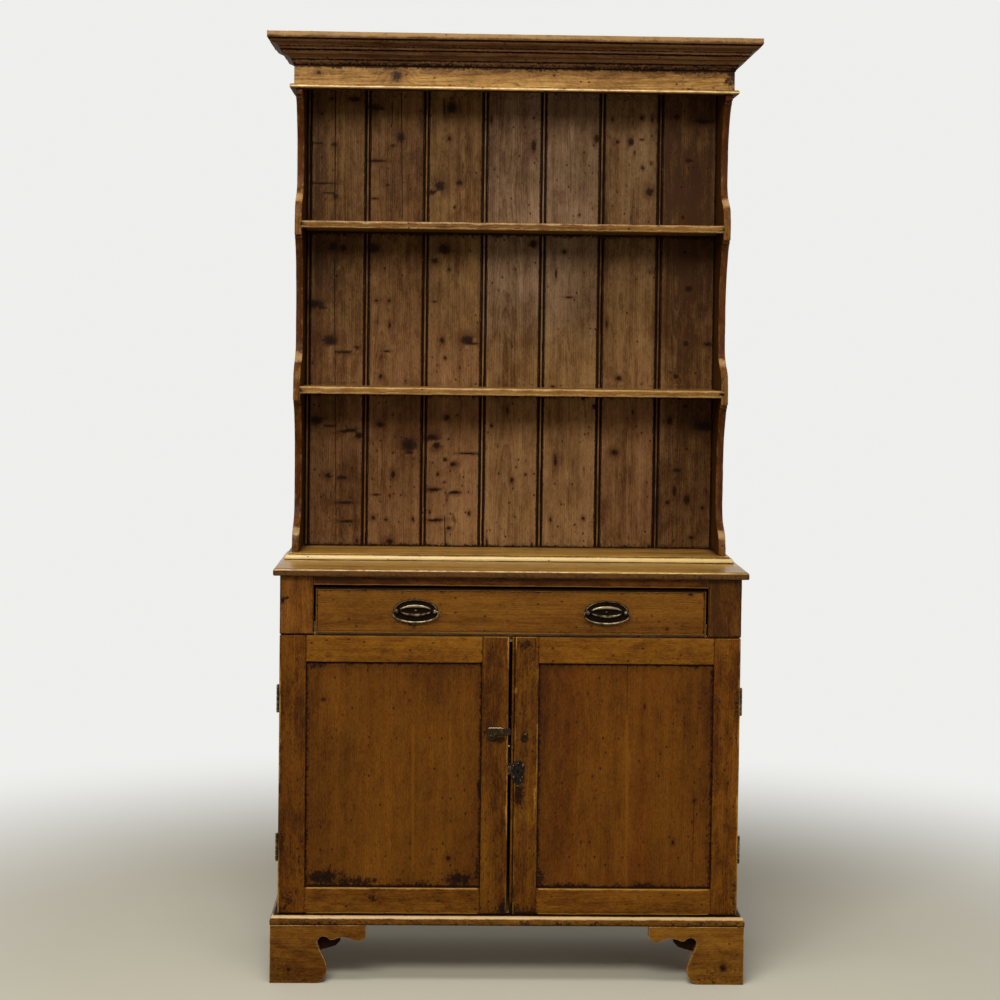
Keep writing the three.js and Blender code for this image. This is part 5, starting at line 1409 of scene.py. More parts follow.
def stile(name, body, side, out, into, height, depths, beaded=False, cracks=()):
    """A stile. Its outer edge is square, or has a bead: a half round with a quirk beside it."""
    (low, high), front, arris = height, depths[0], sizes().arris * 1000
    way = 1 if into > out else -1
    outline, radii = grooved(out, into, *depths), GROOVED_RADII + [arris]
    if beaded:
        outline += [(out + way * 7.6, front), (out + way * 4.6, front + 3.0)]
        outline += [(out + way * (2.3 + 2.3 * math.cos(a)), front + 2.3 - 2.3 * math.sin(a))
                    for a in np.linspace(0, math.pi, 9)[1:-1]]
        outline += [(out, front + 2.3)]
        radii += [0.8] + [0.0] * 9
    else:
        outline += [(out, front)]
        radii += [arris * 1.5]
    section = Section(np.array(outline) * (side, 1), radii, fine=7.0)
    part = planed(section, *run(low, high, 7.0, (0.9, 0.9)), upright, name, wave=0.15)
    joint_x, patchy = side * into, seed_of(name, "patches")

    def soil(x, y, z):
        foot = 0.9 * fade(z - low, 16.0) * (1.0 if beaded else fade(np.abs(x - side * out), 30.0))
        quirk = 0.85 * fade(np.abs(x - side * (out + 6)), 1.6) if beaded else 0.0
        return strongest(foot, 0.8 * fade(z - low, 3.5), 0.3 * fade(high - z, 4.0),
                         0.45 * fade(np.abs(x - joint_x), 2.2), quirk,
                         blots(x, z, STILE_STAINS[name]) * (y < front + 1))

    x, _, z = part["points"].T
    part["wear"] *= 0.72 + 0.35 * drift(part["points"] * (0.3, 0.3, 1), patchy + 2, 210.0)
    beside_rail = 1 - ease(z, low + 54, low + 60) * ease(z, high - 54, high - 60)
    part["wear"] *= 1 - (np.abs(x - joint_x) < 3.0) * np.maximum(0.0 if beaded else 0.75,
                                                                beside_rail)
    timber(part, name, "z", "y", (), cracks, soil, scuffs=STILE_SCUFFS.get(name, ()),
           shade=lambda x, y, z: (
               0.06 * clouds(x, y, z * 0.6, patchy, 170.0), 0,
               STILE_WORM[name] * ease(clouds(x, 0, z, patchy + 1, 260.0), -0.6, 0.6)))
    make(name, [part], "frame_pine", body)


def rail(name, body, ends, tenon_ends, z_edge, way, depths, tenon_depth):
    """A rail between the stiles, with one board through it for the tenons in their grooves."""
    (x0, x1), front, arris = ends, depths[0], sizes().arris * 1000
    into, bottom = z_edge + way * RAIL_TALL, way > 0
    outline = [(depth, z) for z, depth in grooved(z_edge, into, *depths) + [(z_edge, front)]]
    section = Section(outline, GROOVED_RADII + [arris, arris], fine=7.0)
    part = planed(section, *run(x0, x1, 7.0, (0.3, 0.3)), lambda s, u, v, k: (s, u, v), name,
                  wave=0.15)
    tenon = board(name, "x", "y", pitch=60.0, fine=40.0, radii=0.3, name=name + "_tenon",
                  box=[tenon_ends, tenon_depth, sorted((z_edge, into - way * GROOVE))])

    def soil(x, y, z):
        off = np.minimum(x - x0, x1 - x)
        foot = strongest(0.8 * fade(z - z_edge, 3.5),
                         0.55 * fade(off, 14.0) * fade(z - z_edge, 22.0))
        return strongest(0.45 * fade(off, 3.0), 0.45 * fade(np.abs(z - into), 2.0), foot * bottom,
                         blots(x, z, RAIL_STAINS[name]) * (y < front + 1))

    x = part["points"][:, 0]
    # The bottom rail's upward edge is lighter than the top rail's: painted highlight over wear
    part["wear"] *= (1.1 if bottom else 0.5) * ease(np.minimum(x - x0, x1 - x), 1.0, 6.0)
    timber(part, name, "x", "y", soil=soil)
    make(name, [part, tenon], "frame_pine", body)


def door(word, side):
    """A door of two stiles, two rails and a panel."""
    name = f"{word}_door"
    lock_x, (front, rear), (low, high) = span(name + "_lock_stile")
    panel_y = span(name + "_panel")[1]
    depths = (front, panel_y[0] - GAP, panel_y[1] + GAP, rear)
    meeting, joint = lock_x if side > 0 else (-lock_x[1], -lock_x[0])
    hinge_x = span(name + "_hinge_stile")[0]
    inner, edge = hinge_x if side > 0 else (-hinge_x[1], -hinge_x[0])
    beaded = side > 0
    stile(name + "_lock_stile", name, side, meeting, joint, (low, high), depths, beaded,
          [[(700, 52, 0.4), (744, 53, 0.7)]] if beaded else ())
    stile(name + "_hinge_stile", name, side, edge, inner, (low, high), depths)
    ends = sorted((side * (joint + GAP), side * (inner - GAP)))
    tenon = GROOVE - GAP
    tenon_ends = sorted((side * (joint - tenon), side * (inner + tenon)))
    for end, z_edge, way in (("top", high, -1), ("bottom", low, 1)):
        rail(f"{name}_{end}_rail", name, ends, tenon_ends, z_edge, way, depths, panel_y)
    x0, x1 = sorted((side * joint, side * inner))
    z0, z1 = low + RAIL_TALL, high - RAIL_TALL

    # Dark round the panel's edges and heaviest under the top rail: painted shadow of the frame over
    # grime; the spots are stains
    def soil(x, y, z):
        off = edge_distance(x, z, x0, x1, z0, z1)
        return strongest(fade(off, 4.2), 0.34 * fade(off, 14.0), 0.5 * fade(z1 - z, 13.0),
                         0.55 * fade(z - z0, 12.0 if side < 0 else 8.0),
                         blots(x, z, DOOR_STAINS[word]))

    plain(name + "_panel", "z", "y", "panel_pine", name, fine=8.0, pitch=7.0, radii=0.5,
          soil=soil, pith=PANEL_HEARTS[word], cracks=DOOR_SPLITS[word], knots=PANEL_KNOTS[word],
          scuffs=PANEL_SCUFFS[word], shade=lambda x, y, z: panel_shade(word, x, z))


class DRESSER_OT_doors(bpy.types.Operator):
    """Makes both doors: grooved stiles and rails round a panel"""
    bl_idname = "dresser.doors"
    bl_label = "Doors"

    def execute(self, context):
        door("left", -1)
        door("right", 1)
        return {"FINISHED"}


def cock_bead(name, axis, way, middle, reach, section, face):
    """One length of the bead round the drawer front, mitred at both ends: it gets shorter by what
    the section stands in from its outer edge."""
    half_run, half_off = reach[axis], reach[1 - axis]
    scale = 2 * half_run
    stations = np.linspace(0, 1, max(int(half_run / 5), 4)) * scale

    def place(s, u, v, k):
        shorter = half_run - u - 0.08
        along = middle[axis] - shorter + 2 * shorter * s / scale
        off = middle[1 - axis] + way * (half_off - u)
        return (along, v, off) if axis == 0 else (off, v, along)

    top = name == "top"
    part = sweep(section, stations, stations * 0, place, seed_of("cock", name), 0, 0.1)
    # The top bead is painted dark and unworn: shade under the rail
    part["wear"] = (0.0 if top else 0.5) * (part["points"][:, 1] < face - 1.0)
    return timber(part, "cock" + name, "xz"[axis], "y",
                  soil=lambda x, y, z: 0.85 if top else 0.3)


class DRESSER_OT_drawer(bpy.types.Operator):
    """Makes the drawer with the cock bead round its front"""
    bl_idname = "dresser.drawer"
    bl_label = "Drawer"

    def execute(self, context):
        (x0, x1), (y0, y1), (z0, z1) = span("drawer_front")
        bead, proud = 3.2, 1.6
        face = y0 + proud
        field = (x0 + bead, x1 - bead, z0 + bead, z1 - bead)
        stains = [(205, 797, 56, 31, 0.62), (-205, 797, 56, 31, 0.62)]
        parts = [board("drawer_front", "x", "y", fine=6.0, pitch=7.0, radii=0.3, pith=(-15, 30),
                       box=[field[:2], (face, y1), field[2:]],
                       knots=[(385, 843, 5, 3), (335, 768, 3, 3), (-150, 846, 4, 3)],
                       # Dark along the top under the rail: painted shadow; the dark lines at the edges
                       # are joints and the spots by the handles stains
                       soil=lambda x, y, z: strongest(
                           fade(edge_distance(x, z, *field), 2.0),
                           0.95 * ease(z, z1 - 9.0, z1 - 3.5), blots(x, z, stains)))]
        angle = np.linspace(0, math.pi, 7)
        nose = np.stack([bead / 2 - bead / 2 * np.cos(angle),
                         face - 0.1 - (proud - 0.1) * np.sin(angle)], 1)
        section = Section(joined([(0, y1)], nose, [(bead - 0.12, y1)]), 0.0)
        middle, reach = ((x0 + x1) / 2, (z0 + z1) / 2), ((x1 - x0) / 2, (z1 - z0) / 2)
        parts += [cock_bead(name, axis, way, middle, reach, section, face) for name, axis, way in
                  (("top", 0, 1), ("bottom", 0, -1), ("left", 1, -1), ("right", 1, 1))]
        make("drawer_front", parts, "drawer_pine", "drawer")
        for node, along, thin in (("side_left", "y", "x"), ("side_right", "y", "x"),
                                  ("back", "x", "y"), ("bottom", "x", "z")):
            # The drawer sides' outer faces are darker towards the front: painted shade in the gaps
            # beside the drawer
            plain("drawer_" + node, along, thin, "inside_pine", "drawer", fine=25.0, pitch=25.0,
                  radii=0.8,
                  soil=lambda x, y, z: (np.abs(x) > x1 - 1) * 0.95 * fade(y - y1, 70.0))
        return {"FINISHED"}


def lathe(profile, centre, axis, steps):
    """A turned piece: a circle drawn in to each radius of the profile (radius, place on the axis)."""
    profile = np.asarray(profile, float)
    widest = profile[:, 0].max()
    inset = (widest - profile[:, 0]) * math.cos(math.pi / steps)

    def place(s, u, v, k):
        at = [u, v]
        at.insert(AXES[axis], s)
        return [middle + off for middle, off in zip(centre, at)]
    return sweep(Section(circle(widest, steps)), profile[:, 1], inset, place)


def disc(centre, radii, height, rings, steps):
    """A relief over an ellipse: rings from near the middle to the rim, raised by height(r, angle),
    with a wall down to its back. The surface is (a r cos t, height, b r sin t). Returns the part
    with r and t at each point."""
    r, t = np.meshgrid(np.linspace(0.02, 1, rings),
                       np.linspace(0, 2 * math.pi, steps, endpoint=False), indexing="ij")
    front = np.stack([centre[0] + radii[0] * r * np.cos(t), centre[1] - height(r, t),
                      centre[2] + radii[1] * r * np.sin(t)], -1)
    wall = front[-1:].copy()
    wall[..., 1] = centre[1]
    r, t = np.vstack([r, r[-1:]]), np.vstack([t, t[-1:]])
    return tube(np.concatenate([front, wall]), r * 0), r.ravel(), t.ravel()


def screw(centre, radius, way, turn, dome=0.7, sink=0.4):
    """A slotted screw head: a square grid bent onto a disc, domed, with the middle columns let in
    as the slot, and closed by a skirt below. It looks towards the front, or back where way is 1."""
    u = np.array([-1, -0.72, -0.42, -0.17, -0.13, 0, 0.13, 0.17, 0.42, 0.72, 1.0])
    uu, vv = np.meshgrid(u, np.linspace(-1, 1, 9), indexing="ij")
    a = uu * np.sqrt(1 - vv ** 2 / 2)
    b = vv * np.sqrt(1 - uu ** 2 / 2)
    lift = dome * (1 - (a * a + b * b)) + 0.15
    lift = np.where(np.abs(uu) < 0.15, lift - 0.55 * dome - 0.25, lift)
    cos, sin = math.cos(turn), math.sin(turn)
    grid = np.stack([radius * (a * cos - b * sin), way * lift, radius * (a * sin + b * cos)], -1)
    index = np.arange(uu.size).reshape(uu.shape)
    quads = np.stack([index[:-1, :-1], index[1:, :-1], index[1:, 1:], index[:-1, 1:]],
                     -1).reshape(-1, 4)
    border = np.concatenate([index[:, 0], index[-1, 1:], index[-2::-1, -1], index[0, -2:0:-1]])
    rim = grid.reshape(-1, 3)[border] * (1, 0, 1) - (0, way * sink, 0)
    skirt = np.arange(len(border)) + uu.size
    wall = np.stack([border, skirt, np.roll(skirt, -1), np.roll(border, -1)], -1)
    points = np.concatenate([grid.reshape(-1, 3), rim]) + centre
    return dict(points=points, quads=np.concatenate([quads, wall]), ends=[skirt],
                wear=np.zeros(len(points)))


def marked(part, soil=0.0, wear=0.0):
    """Soils a fitting evenly, and clears it by so much over what its shape gives."""
    part["soil"] = np.full(len(part["points"]), soil)
    part["wear"] = part["wear"] + wear
    return part


POST = [(2.2, 0.0), (6.2, 0.02), (6.4, 1.0), (5.6, 1.7), (3.3, 2.3), (3.1, 4.4), (4.0, 5.2),
        (4.9, 6.6), (5.2, 8.0), (5.0, 9.6), (4.2, 11.0), (2.8, 12.0), (1.2, 12.6), (0.4, 12.7)]


def handle_plate(word, middle, face, height):
    """An oval plate with a raised rim, a raised ring about a hollow and a boss, and two posts."""
    wide, tall = 48, 25.5

    def zones(r, t):
        """How far a point is from the middle in hollows, rings and bosses."""
        x, z = r * wide * np.cos(t), r * tall * np.sin(t) - 1.2
        hollow = np.hypot(x / 29, z / 6)
        return hollow, np.hypot(x / 36.5, z / 13.6), np.hypot(x / 5.0, hollow * 2.2)

    def relief(r, t):
        hollow, ring, boss = zones(r, t)
        return (0.45 + 0.6 * (1 - ease(r, 0.955, 1.0)) + 1.5 * hump(r - 0.945, 0.045)
                + 3.0 * ease(hollow, 0.80, 1.35) * (1 - ease(ring, 0.82, 1.08))
                + 1.2 * (1 - ease(boss, 0.5, 1.2)))

    oval, r, t = disc((middle, face - 0.25, height), (wide, tall), relief, 60, 112)
    hollow, ring, boss = zones(r, t)
    # The upper half of the rim and ring is lighter: a painted highlight over the wear of the proud
    # parts
    upper = ease(r * tall * np.sin(t), -8, 8)
    proud = ((0.35 + 0.4 * upper) * hump(r - 0.945, 0.03)
             + (0.55 + 0.35 * upper) * ease(hollow, 1.0, 1.3) * (1 - ease(ring, 0.86, 1.0))
             + 0.55 * (1 - ease(boss, 0.4, 1)))
    oval["wear"], oval["soil"] = np.clip(proud, 0, 1), np.clip(1.15 - 1.5 * proud, 0, 1)
    parts = [oval]
    for way in (-1, 1):
        post = lathe([(r, -h) for r, h in POST], (middle + way * 41, face - 0.25, height), "y", 22)
        out = face - post["points"][:, 1]
        post["wear"], post["soil"] = 0.45 * ease(out, 5.0, 9.0), 0.9 * (1 - ease(out, 1.0, 4.5))
        parts.append(post)
    make(f"handle_plate_{word}", parts, "brass", "drawer")


def bail(word, middle, axis_y, height):
    """The hanging handle: a rod along a drop curve, thicker at the bottom of its bow."""
    half, pin_end, bend, fall = 48.6, 37.0, 3.5, 23
    hold = fall * 4 / 3 - bend / 3
    drop = cubic((-half, -bend), (-half, -hold), (half, -hold), (half, -bend), 48)
    path = joined([(-pin_end, 0), (-half + bend, 0)],
                  quad((-half + bend, 0), (-half, 0), (-half, -bend), 6), drop,
                  quad((half, -bend), (half, 0), (half - bend, 0), 6), [(pin_end, 0)])
    way = np.gradient(path, axis=0)
    way /= np.linalg.norm(way, axis=1, keepdims=True)
    thick = 1.75 + 0.75 * hump(np.linspace(-1, 1, len(path)), 0.42)
    inset = (thick.max() - thick) * 0.99

    def place(s, u, v, k):
        return (middle + path[k, 0] - u * way[k, 1], axis_y + v, height + path[k, 1] + u * way[k, 0])
    rod = sweep(Section(circle(thick.max(), 14)), np.arange(len(path)), inset, place)
    # The front of the rod is lighter and its back darker: painted highlight and shade
    front_side = (axis_y - rod["points"][:, 1]) / 2.5
    rod["wear"] = np.clip(0.25 + 0.5 * front_side, 0, 1)
    rod["soil"] = np.clip(0.5 - front_side, 0, 1)
    make(f"handle_bail_{word}", [rod], "brass", f"{word}_bail")


class DRESSER_OT_handles(bpy.types.Operator):
    """Makes the oval plates with their knobs, and the bails that hang from them"""
    bl_idname = "dresser.handles"
    bl_label = "Handles"

    def execute(self, context):
        face = span("drawer_post_left")[1][0]
        height = sum(span("drawer_front")[2]) / 2
        for word in ("left", "right"):
            middle = sum(span(f"handle_bail_{word}")[0]) / 2
            handle_plate(word, middle, face, height)
            bail(word, middle, face - 9.3, height)
        return {"FINISHED"}


def leaf_plate(xs, ys, zs):
    """A thin plate with rounded edges."""
    section = Section([(xs[0], ys[0]), (xs[1], ys[0]), (xs[1], ys[1]), (xs[0], ys[1])], 0.35, arc=2)
    return sweep(section, *run(zs[0], zs[1], 20.0, (0.35, 0.35), 2), upright)


def hinge_leaf(word, side, place, fixed):
    """A leaf with every other one of five knuckles and three screws. The fixed one has the pin."""
    low, high = span(f"{word}_hinge_{place}_fixed")[2]
    edge = span(f"base_side_{word}")[0][1 if side > 0 else 0]
    carcase, door_back = span(f"base_side_{word}")[1][0], span(f"{word}_door_hinge_stile")[1][1]
    axis = (edge + side * 3.8, (carcase + door_back) / 2, 0)
    ys = (carcase - 0.15, carcase + 1.45) if fixed else (door_back - 1.45, door_back + 0.15)
    parts = [leaf_plate(sorted((edge - side * 15.5, edge + side * 1.2)), ys, (low, high))]
    for k in range(0 if fixed else 1, 5, 2):
        a, b = (low + (high - low) / 5 * n for n in (k, k + 1))
        a, b = a + 0.15, b - 0.15
        parts.append(marked(lathe([(2.9, a), (3.3, a + 0.25), (3.4, a + 0.8), (3.4, b - 0.8),
                                   (3.3, b - 0.25), (2.9, b)], axis, "z", 20), wear=0.5))
    if fixed:
        pin = [(0.6, -0.9), (1.9, -0.6), (2.3, 0.2), (1.4, 0.6)]
        parts.append(lathe([(r, low + h) for r, h in pin] + [(r, high - h) for r, h in pin[::-1]],
                           axis, "z", 14))
    face, way = (ys[0], -1.0) if fixed else (ys[1], 1.0)
    for n, (inwards, z) in enumerate(((9.0, low + 9), (6.2, (low + high) / 2), (9.0, high - 9))):
        parts.append(screw((edge - side * inwards, face, z), sizes().screw_head * 1000, way,
                           0.4 + 1.3 * n, 0.12, 0.3))
    make(f"{word}_hinge_{place}_fixed" if fixed else f"{word}_door_hinge_{place}_leaf", parts,
         "brass", "case" if fixed else f"{word}_door")


class DRESSER_OT_hinges(bpy.types.Operator):
    """Makes the four butt hinges with their knuckles and screws"""
    bl_idname = "dresser.hinges"
    bl_label = "Hinges"

    def execute(self, context):
        for word, side in (("left", -1), ("right", 1)):
            for place in ("lower", "upper"):
                hinge_leaf(word, side, place, True)
                hinge_leaf(word, side, place, False)
        return {"FINISHED"}


def latch(face, z):
    """The turn latch: an arm with a round boss below its left end, a screw and a pivot pin."""
    pivot = -39.5
    x0, x1 = span("latch_bar")[0]
    low, high = z + 3, z + 20
    angle = np.linspace(0, -math.pi, 15)[1:-1]
    boss = np.stack([pivot + 9 * np.cos(angle), z + 9 * np.sin(angle)], 1)
    outline = joined([(x0, z), (x0, high - 5)], quad((x0, high - 5), (x0, high), (x0 + 6, high), 4),
                     [(-22, high)], cubic((-22, high), (-15, high), (-10, high - 3),
                                          (x1 - 5, high - 2), 6),
                     quad((x1 - 5, high - 2), (x1, high - 2), (x1, high - 7), 4),
                     [(x1, low + 5)], quad((x1, low + 5), (x1, low), (x1 - 5, low), 4),
                     [(pivot + 12, low)],
                     quad((pivot + 12, low), (pivot + 9, low), (pivot + 9, z), 3), boss)
    # The arm is carried from back to front and drawn in along a quarter round.
    back, front, bevel = face - 0.3, face - 2.7, 0.9
    turn = np.linspace(0, math.pi / 2, 5)
    y = np.concatenate([[back, back - 0.05], front + bevel * (1 - np.sin(turn)), [front]])
    inset = np.concatenate([[0.15, 0.0], bevel * (1 - np.cos(turn)), [bevel + 1.6]])
    arm = sweep(Section(outline, 0.0), y, inset, lambda s, u, v, k: (u, s, v))
    x, _, up = arm["points"].T
    # The top edge is lit, a painted highlight, and the rest of the arm is painted darker as shade
    lit = ease(up, high - 2.2, high - 0.9) * (0.45 + 0.8 * hump(x + 22, 12.0))
    arm["wear"] = 0.24 + 1.0 * lit
    arm["soil"] = 0.42 * (1 - lit) * (0.75 + 0.25 * ripple(x + up, 5, 14.0))
    head = screw((pivot, face - 2.6, z), 4.2, -1.0, 0.9, 1.1)
    pin = lathe([(1.6, 12.0), (2.0, 11.0), (2.0, -2.2)], (pivot, face, z), "y", 14)
    make("latch_bar", [arm, head, pin], "brass", "latch")


def escutcheon(x, z, front, back):
    """The lock's face plate: a pear outline drawn in by rows to a keyhole, with a rim at either
    and lobes that swell between them and turn from row to row."""
    wide, tall = 15.6, 65.0
    shares = [((0.42, 0.39), (0.60, 0.27)), ((0.98, 0.27), (0.95, 0.10)),
              ((0.98, 0.0), (0.80, -0.06)), ((1.0, -0.16), (0.80, -0.29)),
              ((0.56, -0.38), (0.32, -0.42)), ((0.2, -0.58), (0.0, -0.64))]
    starts = [(0.0, 0.36)] + [end for _, end in shares]
    half = joined(starts[:1], *[quad(start, hold, end, 6)
                                for start, (hold, end) in zip(starts, shares)])
    ring = np.vstack([half, half[1:-1][::-1] * (-1, 1)]) * (wide, tall) + (x, z)
    # The keyhole has as many points as the rim, at the same share of the way round.
    turn = np.linspace(0, 2 * math.pi, len(ring), endpoint=False)
    hole = np.stack([x + 3.2 * np.sin(turn), z + 3.2 * np.cos(turn)], 1)
    depth = np.clip((-np.cos(turn) - 0.55) / 0.45, 0, 1)
    slot = np.cos(turn) < -0.55
    hole[slot] = np.stack([x + np.clip(3.2 * np.sin(turn), -1.3, 1.3),
                           z - 2.8 - 6.2 * depth], 1)[slot]
    share, y, swell, shine = np.array([  # of the way in, place, swelling and wear of each row
        (0.0, back, 0, 0), (0.0, front + 0.5, 0, 0.3), (0.04, front + 0.05, 0.2, 0.9),
        (0.12, front - 0.15, 0.7, 1.0), (0.30, front + 0.35, 0.9, 0.2),
        (0.50, front + 0.45, 0.7, 0.0), (0.72, front + 0.3, 0.3, 0.2), (0.88, front - 0.2, 0, 1.0),
        (0.97, front + 0.1, 0, 0.8), (1.0, front + 0.5, 0, 0.2), (1.0, back, 0, 0)]).T[..., None]
    lobes = (0.45 * np.cos(7 * turn + 5 * share) + 0.4 * np.cos(11 * turn - 7 * share)
             + 0.3 * np.cos(4 * turn + 2))
    points = np.stack([ring[:, 0] + (hole - ring)[:, 0] * share, y - swell * lobes,
                       ring[:, 1] + (hole - ring)[:, 1] * share], -1)
    index = np.arange(lobes.size).reshape(lobes.shape)
    return dict(points=points.reshape(-1, 3), quads=ring_quads(np.vstack([index, index[:1]])),
                ends=[], wear=(shine * (0.15 + 0.35 * lobes)
                               + 0.55 * swell * np.maximum(lobes, 0)).ravel(),
                soil=(0.72 - shine * 0.45 - swell * lobes * 0.6).ravel())


def lock(face, x, z):
    """The lock: its face plate and nails, the keyhole's floor, the barrel, the case and the bolt."""
    (start, _), (_, rear), _ = span("right_door_lock_stile")
    front, case_x, case_back = face - 1.7, start + 3, rear + 13.3
    # The keyhole's floor and the slot behind it are soiled black: painted shade in the keyhole
    hole = lathe([(3.9, 0.0), (3.9, -0.12), (1.0, -0.12)], (x, face - 0.05, z), "y", 14)
    slot = leaf_plate((x - 1.9, x + 1.9), (face - 0.17, face + 0.6), (z - 9.8, z))
    case = leaf_plate((case_x, case_x + 40), (rear + GAP, case_back), (z - 29, z + 29))
    barrel = leaf_plate((x - 4.5, x + 4.5), (face + 3.0, rear + 6), (z - 14.5, z + 5.5))
    bolt = leaf_plate((case_x - 1.2, case_x + 1), (rear + 3, rear + 9), (z - 9, z + 9))
    nails = [lathe([(1.5, 0.0), (1.5, -0.3), (1.1, -0.8), (0.4, -1.0)],
                   (x + dx, front, z + dz), "y", 12)
             for dx, dz in ((0, 17), (-10, 12), (10, 12), (0, -32), (-9, -13), (9, -13))]
    screws = [screw((case_x + dx, case_back, z + dz), 2.8, 1.0, dz * 0.3)
              for dx in (6, 34) for dz in (-22, 22)]
    make("door_lock", [escutcheon(x, z, front, face - 0.3), marked(hole, 1.0), marked(slot, 1.0),
                       marked(case, 0.5), barrel, marked(bolt, 1.0)] + nails + screws,
         "iron", "right_door")


class DRESSER_OT_fittings(bpy.types.Operator):
    """Makes the turn latch, the lock with its plate and the stop pin between the doors"""
    bl_idname = "dresser.fittings"
    bl_label = "Latch and lock"

    def execute(self, context):
        face = span("drawer_post_left")[1][0]
        low_door = span("left_door_lock_stile")[2][0]
        latch(face, low_door + 385)
        lock(face, span("right_door_lock_stile")[0][0] + 15.0, low_door + 311)
        heads = [marked(screw((32.6, face + 0.1, z), 3.3, -1.0, turn, 0.9), 0.5 - clear, clear)
                 for z, turn, clear in ((537.4, 0.7, 0.45), (525.3, 1.9, 0.0))]
        make("keeper_screws", heads, "brass", "right_door", replaces=False)
        stop = lathe([(0.4, -3.1), (1.6, -2.9), (2.3, -2.2), (2.5, -1.4), (1.4, -0.9), (1.1, 0.3)],
                     (-1.6, face, low_door + 365), "y", 16)
        make("stop_pin", [marked(stop, wear=1.0)], "brass", "left_door", replaces=False)
        return {"FINISHED"}


PALE = (0.86, 0.86, 0.84, 1.0)


def seen_rays(web):
    """1 for the rays that show the background: from the camera, by gloss and through glass."""
    path = web.node("ShaderNodeLightPath", None)
    rays = [Wire(web, path.outputs[f"Is {name} Ray"]) for name in ("Camera", "Glossy",
                                                                  "Transmission")]
    return web.math("MAXIMUM", web.math("MAXIMUM", rays[0], rays[1]), rays[2])


LAMPS = (  # name, place, target, width, height, power, colour
    ("softbox_front", (-0.7, -3.5, 3.15), (0.0, 0.1, 1.0), 2.3, 1.1, 126.0, (1.0, 0.985, 0.955)),
    ("softbox_above", (-0.25, -1.3, 3.7), (0.0, 0.1, 0.8), 1.7, 0.8, 52.0, (1.0, 0.985, 0.955)),
    ("softbox_right", (2.8, -3.0, 1.6), (0.0, 0.1, 0.8), 2.0, 2.0, 12.0, (0.98, 0.99, 1.0)),
)
CAMERA_PLACE, CAMERA_LENS = (-0.1383, -5.0954, 1.3896), 82.81
CAMERA_TURN = (1.684, -2.391, 0.704)  # yaw to the right, pitch up and roll, in degrees
CAMERA_SHIFT = (-0.0163, -0.0662)


def floor_material():
    """A plain floor, which far from the dresser is seen as the background is, so that no edge
    shows."""
    web = Web(bpy.data.materials.new("studio_floor"))
    where = web.node("ShaderNodeTexCoord", "Object")
    tint = colours().floor
    base = web.mix(web.noise(where, 1.7, 3.0), shaded(tint, (0.96,) * 3), shaded(tint, (1.04,) * 3))
    matt = web.node("ShaderNodeBsdfPrincipled", 0, None, Base_Color=base, Roughness=0.8)
    glow = web.node("ShaderNodeEmission", 0, None, Color=PALE, Strength=1.0)
    far = web.ease(web.vector("LENGTH", where, out="Value"), 0.9, 2.7) * seen_rays(web)
    return web.finish(web.node("ShaderNodeMixShader", 0, None, i0=far, i1=matt, i2=glow))


def studio_world():
    """Soft light from all round, seen as the pale background."""
    web = Web(bpy.data.worlds.new("studio"))
    fill = web.node("ShaderNodeBackground", 0, None, Color=(1.0, 0.98, 0.95, 1.0), Strength=0.29)
    pale = web.node("ShaderNodeBackground", 0, None, Color=PALE, Strength=1.0)
    both = web.node("ShaderNodeMixShader", 0, None, i0=seen_rays(web), i1=fill, i2=pale)
    return web.finish(both, "World")


def placed_camera():
    """The camera's matrix, from its place and its turns."""
    yaw, pitch, roll = (math.radians(angle) for angle in CAMERA_TURN)
    forward = Vector((math.sin(yaw) * math.cos(pitch), math.cos(yaw) * math.cos(pitch),
                      math.sin(pitch)))
    right = Vector((math.cos(yaw), -math.sin(yaw), 0))
    up = right.cross(forward)
    turn = Matrix((right * math.cos(roll) + up * math.sin(roll),
                   -right * math.sin(roll) + up * math.cos(roll), -forward)).transposed().to_4x4()
    turn.translation = CAMERA_PLACE
    return turn


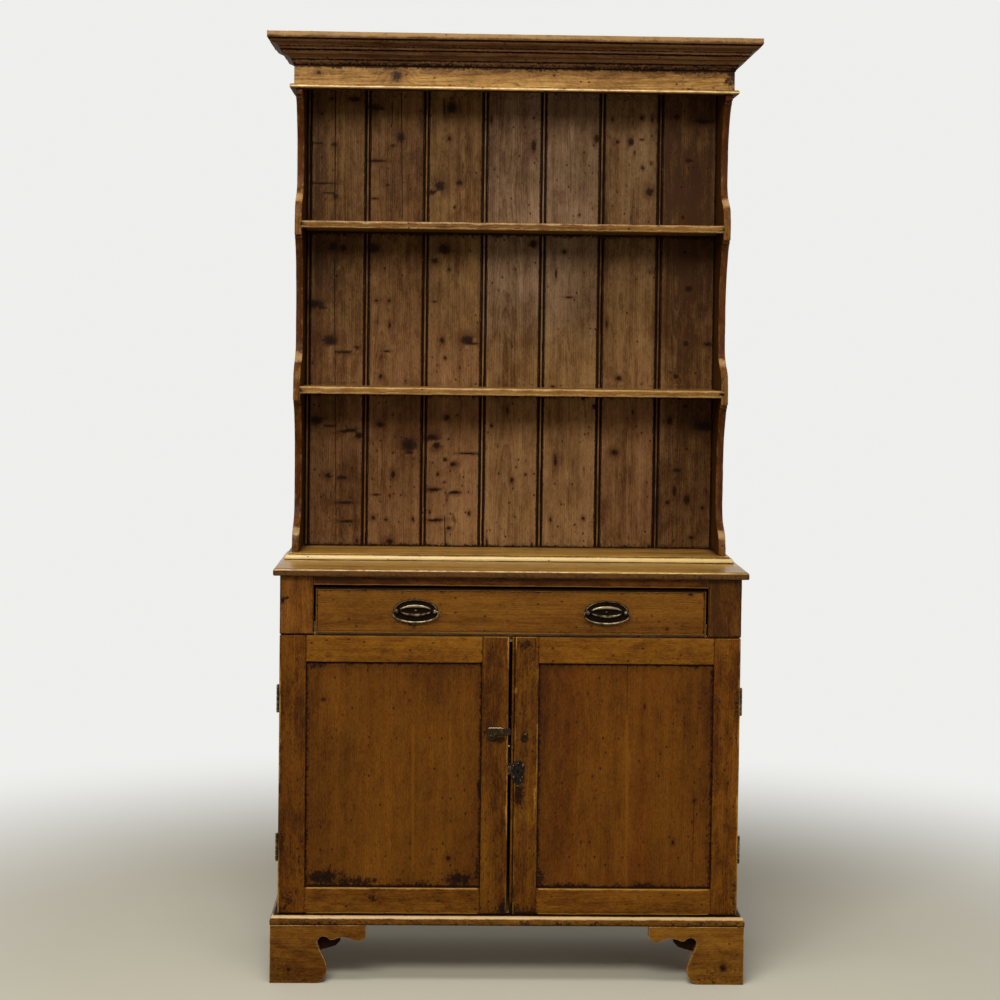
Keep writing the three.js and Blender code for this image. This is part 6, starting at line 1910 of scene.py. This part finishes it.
class DRESSER_OT_stage(bpy.types.Operator):
    """Makes the floor, the light and the camera"""
    bl_idname = "dresser.stage"
    bl_label = "Stage"

    def execute(self, context):
        scene, size = context.scene, 14.0
        mesh = bpy.data.meshes.new("floor")
        mesh.from_pydata([(-size, -size, 0), (size, -size, 0), (size, size, 0), (-size, size, 0)],
                         [], [(0, 1, 2, 3)])
        floor = bpy.data.objects.new("floor", mesh)
        scene.collection.objects.link(floor)
        mesh.materials.append(floor_material())
        scene.world = studio_world()
        for name, place, target, wide, tall, power, tint in LAMPS:
            data = bpy.data.lights.new(name, "AREA")
            data.shape, data.size, data.size_y = "RECTANGLE", wide, tall
            data.energy, data.color = power, tint
            lamp = bpy.data.objects.new(name, data)
            scene.collection.objects.link(lamp)
            lamp.location = place
            way = Vector(target) - Vector(place)
            lamp.rotation_euler = way.to_track_quat("-Z", "Y").to_euler()
        camera = bpy.data.cameras.new("camera")
        eye = bpy.data.objects.new("camera", camera)
        scene.collection.objects.link(eye)
        eye.matrix_world = placed_camera()
        camera.sensor_fit, camera.sensor_width, camera.lens = "HORIZONTAL", 36.0, CAMERA_LENS
        camera.shift_x, camera.shift_y = CAMERA_SHIFT
        camera.dof.use_dof = False
        scene.camera = eye
        scene.view_settings.view_transform = "Standard"
        return {"FINISHED"}


class DRESSER_PT_panel(bpy.types.Panel):
    """Lists the dresser's pieces, sizes and finishes"""
    bl_idname = "DRESSER_PT_panel"
    bl_label = "Welsh dresser"
    bl_space_type = "VIEW_3D"
    bl_region_type = "UI"
    bl_category = "Dresser"

    def draw(self, context):
        column = self.layout.column()
        for operator in OPERATORS:
            column.operator(operator.bl_idname)
        for group in (context.scene.dresser_sizes, context.scene.dresser_colours):
            for name in group.bl_rna.properties.keys():
                if name not in ("rna_type", "name"):
                    column.prop(group, name)


OPERATORS = (DRESSER_OT_stage, DRESSER_OT_crown, DRESSER_OT_rack_sides, DRESSER_OT_shelves,
             DRESSER_OT_back_boards, DRESSER_OT_worktop, DRESSER_OT_carcase, DRESSER_OT_plinth,
             DRESSER_OT_doors, DRESSER_OT_drawer, DRESSER_OT_handles, DRESSER_OT_hinges,
             DRESSER_OT_fittings)
CLASSES = (DresserSizes, DresserColours, *OPERATORS, DRESSER_PT_panel)


def register():
    for entry in CLASSES:
        bpy.utils.register_class(entry)
    bpy.types.Scene.dresser_sizes = bpy.props.PointerProperty(type=DresserSizes)
    bpy.types.Scene.dresser_colours = bpy.props.PointerProperty(type=DresserColours)


def unregister():
    del bpy.types.Scene.dresser_colours
    del bpy.types.Scene.dresser_sizes
    for entry in reversed(CLASSES):
        bpy.utils.unregister_class(entry)


def main():
    register()
    for operator in OPERATORS:
        group, action = operator.bl_idname.split(".")
        getattr(getattr(bpy.ops, group), action)()


if __name__ == "__main__":
    main()
